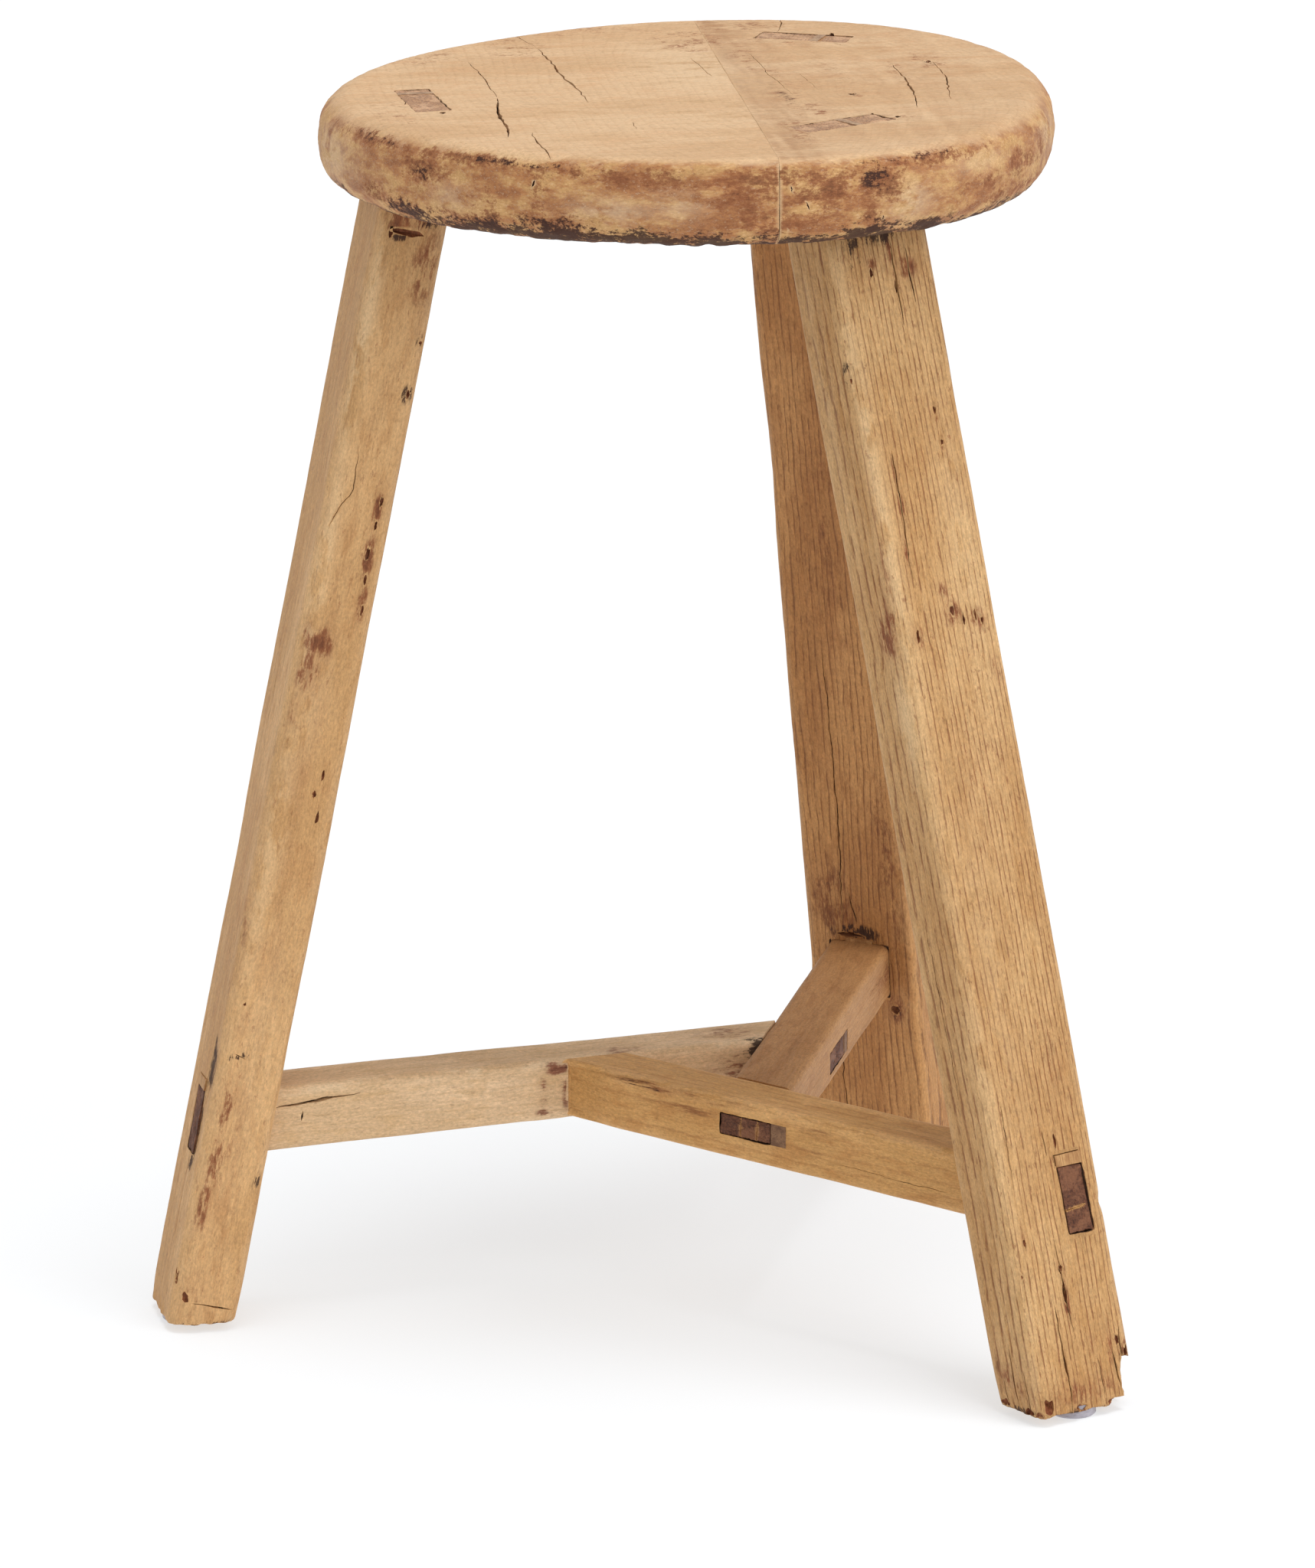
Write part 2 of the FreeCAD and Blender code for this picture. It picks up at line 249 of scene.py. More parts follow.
def combine(piece, others, operation="DIFFERENCE"):
    """Cuts the others out of the piece, or joins them to it, and drops them."""
    for other in others:
        change = piece.modifiers.new("combine", "BOOLEAN")
        change.operation, change.solver, change.object = operation, "MANIFOLD", other
    graph = bpy.context.evaluated_depsgraph_get()
    mesh = bpy.data.meshes.new_from_object(piece.evaluated_get(graph), depsgraph=graph)
    piece.modifiers.clear()
    piece.data = mesh
    for other in others:
        bpy.data.objects.remove(other)
    drop_crumbs(mesh)
    return piece


def drop_crumbs(mesh, smallest=200):
    """Deletes the small loose bits that cutting may leave."""
    shape = bmesh.new()
    shape.from_mesh(mesh)
    seen, crumbs = set(), []
    for start in shape.verts:
        if start in seen:
            continue
        seen.add(start)
        found, waiting = [], [start]
        while waiting:
            vertex = waiting.pop()
            found.append(vertex)
            for edge in vertex.link_edges:
                other = edge.other_vert(vertex)
                if other not in seen:
                    seen.add(other)
                    waiting.append(other)
        if len(found) < smallest:
            crumbs += found
    if crumbs:
        bmesh.ops.delete(shape, geom=crumbs, context="VERTS")
        shape.to_mesh(mesh)
    shape.free()


def swollen_node(node, by, shape=None):
    """A CAD node, or the points and triangles given, with every flat face moved outwards by a clearance."""
    points, triangles = shape or cad_mesh(node)
    corners = points[triangles]
    normals = unit(np.cross(corners[:, 1] - corners[:, 0], corners[:, 2] - corners[:, 0]))
    moved = points.copy()
    for i in range(len(points)):
        around = normals[(triangles == i).any(axis=1)]
        moved[i] += np.linalg.lstsq(around, np.full(len(around), by), rcond=1e-3)[0]
    return cutter(moved, triangles.tolist(), 0.6)


def closed_grid(grid):
    """Rows of a closed tube (rows, around, 3) as points and faces, each end closed by a fan."""
    rows, around = grid.shape[:2]
    points = np.concatenate([grid.reshape(-1, 3), grid[:1].mean(1), grid[-1:].mean(1)])
    i = np.arange(around)
    j = (i + 1) % around
    low = (np.arange(rows - 1) * around)[:, None]
    sides = np.stack([low + i, low + j, low + around + j, low + around + i], axis=-1).reshape(-1, 4)
    first, last = rows * around, rows * around + 1
    top = (rows - 1) * around
    faces = sides.tolist() + [[first, b, a] for a, b in zip(i.tolist(), j.tolist())]
    faces += [[last, top + a, top + b] for a, b in zip(i.tolist(), j.tolist())]
    return points, faces


def with_poles(values):
    """Values on a grid as a list over its points, the two end points included."""
    return np.concatenate([values.ravel(), values[:1].mean(1), values[-1:].mean(1)])


def grid_normals(grid):
    around = np.roll(grid, -1, axis=1) - np.roll(grid, 1, axis=1)
    return unit(np.cross(around, np.gradient(grid, axis=0)) + 1e-9)


# The signs of a section's corners, in turn.
CORNERS = ((1, 1), (-1, 1), (-1, -1), (1, -1))


def section(half_x, half_y, radii, flat_x, flat_y, arc):
    """Rounded rectangles, a row of points for each entry of half_x; radii is (rows, 4), from (+, +) on."""
    columns = []
    for k, (sx, sy) in enumerate(CORNERS):
        after = (k + 1) % 4
        next_sx, next_sy = CORNERS[after]
        turn = np.radians(90 * k + np.linspace(0, 90, arc))
        r, next_r = radii[:, k], radii[:, after]
        x = (sx * (half_x - r))[:, None] + r[:, None] * np.cos(turn)
        y = (sy * (half_y - r))[:, None] + r[:, None] * np.sin(turn)
        turn = math.radians(90 * k + 90)
        end_x = next_sx * (half_x - next_r) + next_r * math.cos(turn)
        end_y = next_sy * (half_y - next_r) + next_r * math.sin(turn)
        flat = flat_x if k % 2 == 0 else flat_y
        share = np.arange(1, flat) / flat
        along_x = x[:, -1:] + (end_x[:, None] - x[:, -1:]) * share
        along_y = y[:, -1:] + (end_y[:, None] - y[:, -1:]) * share
        columns += [np.stack([x, y], axis=-1), np.stack([along_x, along_y], axis=-1)]
    return np.concatenate(columns, axis=1)


def timber_grid(bar, start, end, step, across, radii=2.0, rounding=(0.5, 0.5), caps=(8, 8), sizes=None):
    """A bar's grid between two planes. across is the spacing around the section; sizes gives the section's
    half sizes and middle (half_x, half_y, mid_x, mid_y) at each share of the length."""
    middle = [bar.meets(plane) for plane in (start, end)]
    length = middle[1] - middle[0]
    inset, lift, shrink = [], [], []
    for side in (0, 1):
        r = rounding[side]
        turn = np.linspace(90, 0, max(4, int(r / 0.8)))[:-1]
        cap = np.linspace(0.06, 1, caps[side] + 1)[:-1]
        ring = [np.concatenate([np.full(len(cap), r), r - r * np.sin(np.radians(90 - turn))])]
        ring.append(np.concatenate([np.zeros(len(cap)), r - r * np.sin(np.radians(turn))]))
        ring.append(np.concatenate([cap, np.ones(len(turn))]))
        for store, values in zip((inset, lift, shrink), ring):
            store.append(values)
    count = int((length - sum(rounding)) / step) + 1
    body = np.linspace(rounding[0], length - rounding[1], count)
    from_start = np.concatenate([lift[0], body, length - lift[1][::-1]]) / length
    inset = np.concatenate([inset[0], np.zeros(count), inset[1][::-1]])
    shrink = np.concatenate([shrink[0], np.ones(count), shrink[1][::-1]])
    half_x, half_y, mid_x, mid_y = sizes(from_start) if sizes else (
        np.full(len(inset), bar.half_x), np.full(len(inset), bar.half_y), 0.0, 0.0)
    corner = radii(from_start) if callable(radii) else np.full((len(inset), 4), radii)
    arc = max(4, int(corner.mean() * 1.57 / across))
    flat_x, flat_y = int(2 * half_x.mean() / across), int(2 * half_y.mean() / across)
    corner = np.maximum(corner - inset[:, None], 0.4)
    ring = section(half_x - inset, half_y - inset, corner, flat_x, flat_y, arc) * shrink[:, None, None]
    x, y = ring[..., 0] + np.reshape(mid_x, (-1, 1)), ring[..., 1] + np.reshape(mid_y, (-1, 1))
    low, high = bar.station(x, y, start), bar.station(x, y, end)
    grid = bar.place(x, y, low + (high - low) * from_start[:, None])
    return grid if np.cross(bar.x, bar.y) @ bar.axis > 0 else grid[:, ::-1]


def wear(grid, amount):
    """The grid with every point moved along its normal."""
    return grid + grid_normals(grid) * amount[..., None]


# ---------------------------------------------------------------- cuts
def resampled(path, step):
    path = np.asarray(path, float)
    length = np.concatenate([[0], np.cumsum(np.linalg.norm(np.diff(path, axis=0), axis=1))])
    at = np.linspace(0, length[-1], max(3, int(length[-1] / step) + 1))
    return np.stack([np.interp(at, length, path[:, k]) for k in range(3)], axis=1)


def crack(path, normal, width, depth, seed=0, jitter=0.5):
    """A thin tapering wedge of space under a path on a surface that faces along normal."""
    over = 1.5
    path = resampled(path, 1.6)
    normal = unit(normal)
    along = unit(np.gradient(path, axis=0))
    across = unit(np.cross(along, normal))
    sway = jitter * noise(path, 5.0, seed) + 0.4 * jitter * noise(path, 2.0, seed + 1)
    path = path + across * sway[:, None]
    share = np.linspace(0, 1, len(path))
    taper = np.sin(np.pi * np.clip(share, 0.004, 0.996)) ** 0.55
    vary = 0.75 + 0.45 * noise(path, 6.0, seed + 2)
    half = (width / 2 * taper * vary + 0.03)[:, None]
    down = (depth * (0.25 + 0.75 * taper) * (0.8 + 0.3 * noise(path, 9.0, seed + 3)))[:, None]
    lift = over * (1 + over / down)
    left = path + normal * over + across * half * lift / over
    right = path + normal * over - across * half * lift / over
    grid = np.stack([left, path - normal * down, right], axis=1)
    return closed_grid(grid)


def lump(rows, turns, rough, size, seed):
    """A ball of radius 1 with an uneven surface, as rings of points."""
    turn = np.linspace(0, 2 * np.pi, turns, endpoint=False)
    rise = np.radians(np.linspace(-84, 84, rows))[:, None]
    x, y = np.cos(rise) * np.cos(turn), np.cos(rise) * np.sin(turn)
    ball = np.stack([x, y, np.sin(rise) * np.ones(turns)], axis=-1)
    return ball * (1 + rough * noise(ball, size, seed))[..., None]


def pit(place, normal, along, size, seed=0):
    """A ragged lens-shaped space sunk into a surface: size is its length, width and depth."""
    normal = unit(normal)
    along = unit(along - normal * (np.dot(along, normal)))
    across = np.cross(normal, along)
    ball = lump(9, 18, 0.45, (0.5, 0.5, 0.8), seed)
    length, width, depth = size
    shift = place + normal * depth * 0.25
    grid = shift + (ball[..., :1] * along * length + ball[..., 1:2] * across * width) / 2
    return closed_grid(grid + ball[..., 2:] * normal * depth * 1.25)


def chip(bar, place, radii, seed=0):
    """A blunt, rough lump of space beside a bar: place is (x, y, height)."""
    rows, turns = 29, 44
    fine = 0.07 * noise(lump(rows, turns, 0, 1, 0), 0.13, seed + 1)
    ball = lump(rows, turns, 0.16, 0.4, seed) * (1 + fine)[..., None]
    # pushed out towards a box, so that the break has flat sides and corners
    reach = np.linalg.norm(ball, axis=-1, keepdims=True)
    ball = ball / (np.abs(ball) ** 4).sum(axis=-1, keepdims=True) ** 0.25 * reach
    x, y, height = place
    shape = [ball[..., k : k + 1] * radii[k] * way for k, way in enumerate((bar.x, bar.y, bar.axis))]
    grid = bar.at_height(height, x, y) + sum(shape)
    turned = np.dot(np.cross(bar.x, bar.y), bar.axis) < 0
    return closed_grid(grid[:, ::-1] if turned else grid)


# ---------------------------------------------------------------- timber
# How each leg's wood grew: where the pith lies from the centre line, the ring spacing, how far the soft wood
# has worn back, how wavy the rings are (slow, quick), and its corner radii from (+x, +y) round to (+x, -y).
GRAIN = {
    "left": dict(pith=(-210, 60), spacing=5.5, relief=0.06, waver=(2.5, 0.3), corners=(7.5, 5, 4, 6)),
    "front": dict(pith=(-112, -46), spacing=2.3, relief=0.34, waver=(1.2, 0.22), corners=(4, 5.5, 4, 4)),
    "back": dict(pith=(-150, 30), spacing=2.7, relief=0.36, waver=(3.2, 0.75), corners=(4, 5, 5, 4.5)),
}
# Soft hollows in a leg's surface: (x, y, height), extents, depth.
HOLLOWS = {
    "left": [
        ((23, 17, 460), (5, 5, 9), 0.8), ((23, 3, 467), (5, 5, 3), 1.0), ((12, 15, 110), (6, 5, 16), 0.9),
        ((8, 15, 84), (6, 5, 14), 1.0), ((23, -13, 66), (4, 4, 7), 0.8), ((23, 15, 22), (5, 7, 12), 0.9),
        ((-15, 15, 200), (12, 6, 30), 0.8), ((0, 15, 330), (14, 6, 40), 0.7),
        ((-23, 0, 260), (8, 9, 40), 0.9), ((5, -15, 300), (12, 6, 50), 0.6),
        ((20, 15, 400), (5, 5, 30), 0.8),
    ],
    "front": [
        ((-24, 15, 305), (6, 7, 14), 1.4), ((-25, -2, 312), (5, 8, 12), 1.2),
        ((25, 14, 84), (2, 3, 2.6), 1.0), ((-22, 15, 430), (5, 5, 30), 1.0),
        ((-24, 15, 385), (4, 5, 20), 0.9), ((10, -15, 200), (12, 5, 40), 0.9),
        ((25, 0, 300), (5, 10, 60), 0.8), ((-25, 15, 60), (6, 6, 30), 0.5), ((0, 15, 5), (9, 9, 4), 0.8),
        ((-14, 13, 4), (6, 6, 5), 1.0),
    ],
    "back": [
        ((24, -16, 330), (5, 5, 25), 1.0), ((-24, -16, 250), (5, 5, 40), 1.0),
        ((0, 16, 200), (14, 6, 50), 0.9), ((24, 10, 120), (5, 8, 40), 0.9), ((-24, 16, 26), (8, 8, 14), 1.4),
        ((20, -16, 8), (8, 8, 8), 0.8), ((10, 16, 420), (9, 6, 30), 0.8),
    ],
}
# How much further a leg's sides stand out towards its foot: (side, amount, from height, to height).
FLARES = {"left": [], "front": [], "back": [(-1, 3.6, 190, 80), (1, 3.8, 92, 60)]}
SWELLINGS = {"back": [((-16, -17, 71), (3.4, 3.4, 5.5), 0.9)]}
# Marks on a leg, by the shading layer they feed: (x, y, height), extents, strength.
STAINS = {
    "left": {
        "rust": [
            ((23, 14, 300), (3, 4, 9), 0.9), ((23, 6, 296), (3, 6, 7), 0.95), ((23, 9, 284), (3, 6, 9), 0.8),
            ((23, 12, 268), (3, 4, 9), 0.5), ((23, -7.5, 350), (3, 2.2, 9), 0.75),
            ((23, -7.5, 331), (3, 3, 10), 0.8), ((23, -8.5, 312), (3, 2.5, 10), 0.7),
            ((23, -8, 452), (4, 9, 22), 0.5), ((23, 2, 474), (5, 14, 9), 0.6),
            ((23, 7.5, 98), (4, 3.6, 17), 0.6), ((23, 8, 77), (4, 3.6, 17), 0.68),
            ((23, 9.5, 56), (4, 3.6, 17), 0.58), ((23, 14, 36), (3, 4, 16), 0.45),
            ((23, 17, 26), (5, 5, 12), 0.45), ((23, 5, 74), (7, 8, 42), 0.38),
            ((23, 8, 14), (7, 12, 26), 0.3), ((23, 8, 136), (3, 5, 7), 0.35),
            ((23, 10, 166), (3, 5, 8), 0.3), ((23, 7, 240), (3, 8, 14), 0.28),
            ((20, 15, 180), (6, 4, 40), 0.4), ((0, 15, 150), (18, 4, 60), 0.25),
            ((0, 15, 420), (16, 4, 50), 0.2), ((-12, 15, 300), (8, 4, 40), 0.25),
            ((0, -15, 250), (16, 4, 60), 0.32), ((10, -15, 460), (16, 4, 30), 0.4),
            ((-23, 0, 350), (4, 9, 60), 0.3), ((23, -10, 478), (5, 8, 6), 0.9),
            ((-23, 3, 120), (4, 9, 40), 0.3),
        ],
        "dirt": [
            ((23, 17, 459), (3, 3, 5), 0.7), ((23, 4, 467), (3, 4.5, 1.8), 0.8),
            ((23, -8, 471), (3, 5, 2), 0.5), ((23, -12.5, 421), (2, 2, 2.5), 0.7),
            ((23, -11, 400), (2, 2.5, 3), 0.7), ((12, 15, 112), (4, 3, 12), 0.75),
            ((7, 15, 92), (4, 3, 12), 0.7), ((5, 15, 76), (4, 3, 9), 0.6), ((23, -13, 64), (2, 2.5, 6), 0.6),
            ((23, 7, 120), (2, 5, 1.6), 0.55), ((23, 0, 3), (12, 14, 2), 0.35),
            ((23, -12.5, 84), (2, 2.5, 4), 0.6),
        ],
        "pale": [
            ((23, 12, 420), (7, 4, 60), 1.0), ((23, 11, 330), (7, 4.5, 60), 0.8),
            ((23, 10, 210), (6, 6, 70), 0.6), ((23, 4, 270), (4, 8, 30), 0.4),
            ((23, -2, 130), (4, 8, 50), 0.35),
        ],
    },
    "front": {
        "rust": [
            ((3, 15, 325), (5, 3, 5), 0.8), ((14, 15, 321), (5, 3, 5), 0.75), ((0, 15, 334), (3, 3, 4), 0.6),
            ((-13, 15, 384), (1.6, 3, 5), 0.8), ((-13, 15, 370), (1.6, 3, 6), 0.8),
            ((-14.5, 15, 352), (1.6, 3, 8), 0.7), ((12, 15, 404), (1.6, 3, 4), 0.8),
            ((13, 15, 392), (1.4, 3, 3), 0.9), ((4, 15, 470), (2, 3, 10), 0.7),
            ((10, 15, 462), (8, 3, 5), 0.6), ((-6, 15, 466), (4, 3, 5), 0.5),
            ((-16, 15, 318), (3, 3, 5), 0.8), ((20, 15, 300), (3, 3, 8), 0.5),
            ((-2.5, 15, 50), (1.6, 3, 9), 0.85), ((-2.8, 15, 62), (2, 3, 4), 0.7),
            ((6, 15, 30), (2, 3, 5), 0.5), ((15, 15, 28), (2, 3, 9), 0.55), ((22, 13, 24), (3, 4, 6), 0.9),
            ((-22, 15, 62), (1.6, 2, 4), 0.6), ((-18, 15, 76), (1.4, 2, 5), 0.6),
            ((0, 15, 255), (20, 4, 50), 0.25), ((-25, 4, 316), (4, 7, 9), 0.7),
            ((-25, 9, 325), (4, 3, 16), 0.75), ((-25, 12, 345), (3, 2, 40), 0.4),
            ((10, -15, 400), (20, 4, 60), 0.34), ((0, -15, 180), (20, 4, 60), 0.3),
            ((25, 0, 420), (4, 10, 50), 0.35), ((25, 0, 160), (4, 10, 60), 0.3),
            ((0, 15, 12), (20, 5, 6), 0.5), ((-25, 0, 16), (4, 12, 8), 0.5),
            ((12, 15, 140), (9, 3, 26), 0.3),
        ],
        "dirt": [
            # the first five, at heights 479 to 481 across the top of the leg, are painted shade under the
            # seat
            ((-16, 14, 479), (7, 6, 5), 0.7), ((-6, 15, 481), (6, 6, 6), 1.0),
            ((4, 15, 479), (6, 6, 5), 1.0), ((14, 15, 481), (5, 5, 4), 0.6), ((-25, 6, 480), (6, 9, 4), 0.6),
            ((-25.5, 12, 423), (2, 2.5, 4), 0.7), ((22, 13, 21), (3, 3, 3), 0.8),
            ((0, 15, 2.5), (24, 9, 2.5), 0.45), ((-25, 0, 3), (9, 16, 3), 0.5),
            ((-14, 14, 470), (4, 5, 8), 0.45),
        ],
        "pale": [
            ((-23, 14, 380), (5, 3, 110), 0.8), ((-23, 14, 150), (4, 3, 90), 0.45),
            ((-10, 15, 180), (9, 4, 70), 0.3), ((-25, 9, 285), (4, 6, 22), 0.9),
            ((14, 15, 350), (9, 4, 60), 0.5), ((-25, -6, 420), (4, 5, 70), 0.4),
        ],
    },
    "back": {
        "rust": [
            ((10, -16, 120), (16, 4, 30), 0.5), ((-16, -17, 71), (5, 4, 7), 0.9),
            ((-18, -16, 140), (8, 5, 60), 0.5), ((0, -16, 300), (22, 4, 120), 0.35),
            ((0, 16, 300), (20, 4, 80), 0.34), ((24, 0, 200), (4, 12, 80), 0.3),
            ((-24, 0, 80), (4, 12, 40), 0.5), ((0, 16, 80), (20, 4, 40), 0.4),
            # painted shade under the seat, across the top of the inner face
            ((0, -16, 477), (24, 6, 7), 0.5),
        ],
        "dirt": [
            ((-16, -17, 71), (2.4, 3, 3), 0.9), ((0, -16, 106), (9, 4, 3), 0.8),
            # painted shade under the seat, across the top of the inner face
            ((0, -16, 480), (24, 8, 5), 0.7),
        ],
        "pale": [((-21, -15, 300), (4, 3, 120), 0.35)],
    },
}


def ring_field(local, pith, spacing, waver, seed):
    """The growth-ring number at points of a section."""
    reach = np.hypot(local[..., 0] - pith[0], local[..., 1] - pith[1])
    reach = reach + 0.8 * noise(reach[..., None] * np.ones(3), 7.0, seed + 9)
    slow, quick = waver
    reach = reach + slow * noise(local, (34, 34, 120), seed) + quick * noise(local, (9, 9, 26), seed + 1)
    return (reach + 0.35 * quick * noise(local, (4, 4, 11), seed + 2)) / spacing


def groove(ring, sharp=0.15):
    """1 in the line between two rings, 0 elsewhere."""
    return np.exp(-(((ring - np.round(ring)) / sharp) ** 2))


# How far the worn wood of a foot hangs down round its glide.
FOOT_SKIRT = 3.4


def leg_piece(name, seed):
    """A leg with its rings, hollows, swellings, worn foot and tenon, before anything is cut."""
    bar, wood = bodies[name], GRAIN[name]
    foot_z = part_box("leg_" + name)[0].z / MM
    start, end = (UP, foot_z - FOOT_SKIRT), (UP, SEAT_LOW + 0.5)
    radii = lambda share: foot_radii(share, wood["corners"])
    grid = timber_grid(bar, start, end, 2.3, 0.78, radii, rounding=(2.4, 0.0), caps=(12, 6))
    local = bar.local(grid)
    here = np.concatenate([local[..., :2], grid[..., 2:]], axis=-1)
    ring = ring_field(local, wood["pith"], wood["spacing"], wood["waver"], seed)
    foot = smooth(here[..., 2], foot_z + 14, foot_z - 2)
    amount = -wood["relief"] * groove(ring) * (0.55 + 0.45 * noise(local, (14, 14, 40), seed + 5))
    amount += 0.45 * noise(local, (50, 50, 110), seed + 3) + 0.12 * noise(local, (12, 12, 22), seed + 4)
    amount += 0.05 * noise(local, (1.8, 1.8, 5), seed + 6) - spots(here, HOLLOWS[name])
    amount += spots(here, SWELLINGS.get(name, []))
    for side, reach, high, low in FLARES[name]:
        facing = smooth(grid_normals(grid) @ bar.x * side, 0.3, 0.9)
        amount += reach * smooth(here[..., 2], high, low) * facing
    ragged = 0.5 + 0.5 * noise(local, (3.2, 3.2, 14), seed + 7)
    amount -= foot**2 * (0.9 * ragged + 0.5 * (0.5 + 0.5 * noise(local, (9, 9, 14), seed + 8)))
    amount *= smooth(here[..., 2], SEAT_LOW + 0.6, SEAT_LOW - 4) * 0.9 + 0.1
    grid = wear(grid, amount)
    values = {layer: with_poles(spots(here, spec)) for layer, spec in STAINS[name].items()}
    halves = enumerate((bar.half_x, bar.half_y))
    corner = np.hypot(*[np.maximum(half - np.abs(local[..., k]), 0) for k, half in halves])
    values["edge"] = with_poles(np.exp(-((corner / 4.5) ** 2)))
    values["ring"] = with_poles(ring)
    points, faces = closed_grid(grid)
    piece = add_object("leg_" + name + "_timber", points, faces, values)
    return combine(piece, [seat_tenon(name, seed)], "UNION")


def seat_tenon(name, seed):
    """A leg's tenon through the seat, its end a little sunk and uneven."""
    bar, tenon, wood = bodies[name], tenons[name], GRAIN[name]
    ends = (UP, SEAT_LOW - 8), (UP, SEAT_TOP)
    grid = timber_grid(tenon, *ends, 6.0, 0.9, 0.8, rounding=(0.5, 0.5), caps=(3, 9))
    ring = ring_field(bar.local(grid), wood["pith"], 1.7, wood["waver"], seed)
    sunk = -0.25 + 0.3 * noise(tenon.local(grid), (5, 5, 5), seed) - 0.25 * groove(ring, 0.2)
    grid = wear(grid, smooth(grid[..., 2], SEAT_TOP - 2, SEAT_TOP - 0.5) * sunk - 0.02)
    points, faces = closed_grid(grid)
    return add_object("tenon", points, faces, {"ring": with_poles(ring), "end": np.ones(len(points))})


def foot_radii(share, corners):
    """Corner radii that grow towards the worn foot."""
    grown = 1 + 0.15 * smooth(share, 0.06, 0.0)
    return grown[:, None] * np.array(corners, float)


# ---------------------------------------------------------------- stretchers
# How each stretcher grew, as for the legs; its height at the leg and at its inner end; and how far the outer
# side of the inner end is set back.
STRETCHER_FORM = {
    "left": dict(pith=(-60, -140), spacing=4.0, waver=(2.5, 0.3), heights=(27.5, 25.8), taper=0.0),
    "front": dict(pith=(90, -70), spacing=3.6, waver=(3.0, 0.3), heights=(27.5, 25.0), taper=3.9),
    "back": dict(pith=(-40, 160), spacing=3.4, waver=(2.5, 0.3), heights=(25.5, 23.5), taper=0.0),
}
STRETCHER_RELIEF = 0.05


def stretcher_ends(name):
    """The planes where a stretcher's body starts and ends, and the planes its tenons reach."""
    leg, host = bodies[name], stretchers[HOSTS[name]]
    mid_y = leg.centre @ leg.y
    inner, outer = (leg.y, mid_y - leg.half_y), (leg.y, mid_y + leg.half_y)
    mid_x, points = host.centre @ host.x, cad_mesh("stretcher_" + name)[0]
    near = 1.0 if (points.mean(0) @ host.x) > mid_x else -1.0
    return inner, outer, (host.x, mid_x + near * host.half_x), (host.x, mid_x - near * host.half_x)


def tenon_section(name, at_leg):
    """The section range (x low, x high, z low, z high) of a stretcher's tenon, from its outermost points."""
    bar = stretchers[name]
    _, outer, _, far = stretcher_ends(name)
    points = cad_mesh("stretcher_" + name)[0]
    plane = outer if at_leg else far
    reach = points[np.abs(points @ plane[0] - plane[1]) < 0.05]
    local = bar.local(reach)
    right = local[:, 0].max()
    if not at_leg:
        right = min(right, bar.half_x - STRETCHER_FORM[name]["taper"] - 0.8)
    return local[:, 0].min(), right, local[:, 1].min(), local[:, 1].max()


def block_sizes(x0, x1, y0, y1, grow):
    """The section of a plain block between limits, grown on every side, as timber_grid wants it."""
    halves, middles = ((x1 - x0) / 2 + grow, (y1 - y0) / 2 + grow), ((x0 + x1) / 2, (y0 + y1) / 2)
    return lambda share: [np.full(len(share), value) for value in (*halves, *middles)]


def tenon_block(name, at_leg, seed):
    """One of a stretcher's tenons, its end a little sunk and split."""
    bar = stretchers[name]
    inner, outer, near, far = stretcher_ends(name)
    x0, x1, y0, y1 = tenon_section(name, at_leg)
    if at_leg:
        tip, ends = outer, (outer, (inner[0], inner[1] - 5.0))
    else:
        tip, ends = far, ((near[0], near[1] + (near[1] - far[1]) * 0.2), far)
    shape = block_sizes(x0, x1, y0, y1, -0.1)
    grid = timber_grid(bar, *ends, 4.0, 0.9, 0.8, rounding=(0.6, 0.6), caps=(7, 7), sizes=shape)
    close = np.abs(grid @ tip[0] - tip[1]) < 0.7
    local = bar.local(grid)
    sunk = 0.35 if at_leg else 0.1
    sunk = sunk + 0.3 * noise(local, (3, 3, 3), seed) + 0.3 * groove(local[..., 0] / 2.1, 0.2)
    grid = wear(grid, -sunk * close)
    points, faces = closed_grid(grid)
    return add_object("tenon", points, faces, {"end": with_poles(close.astype(float))})


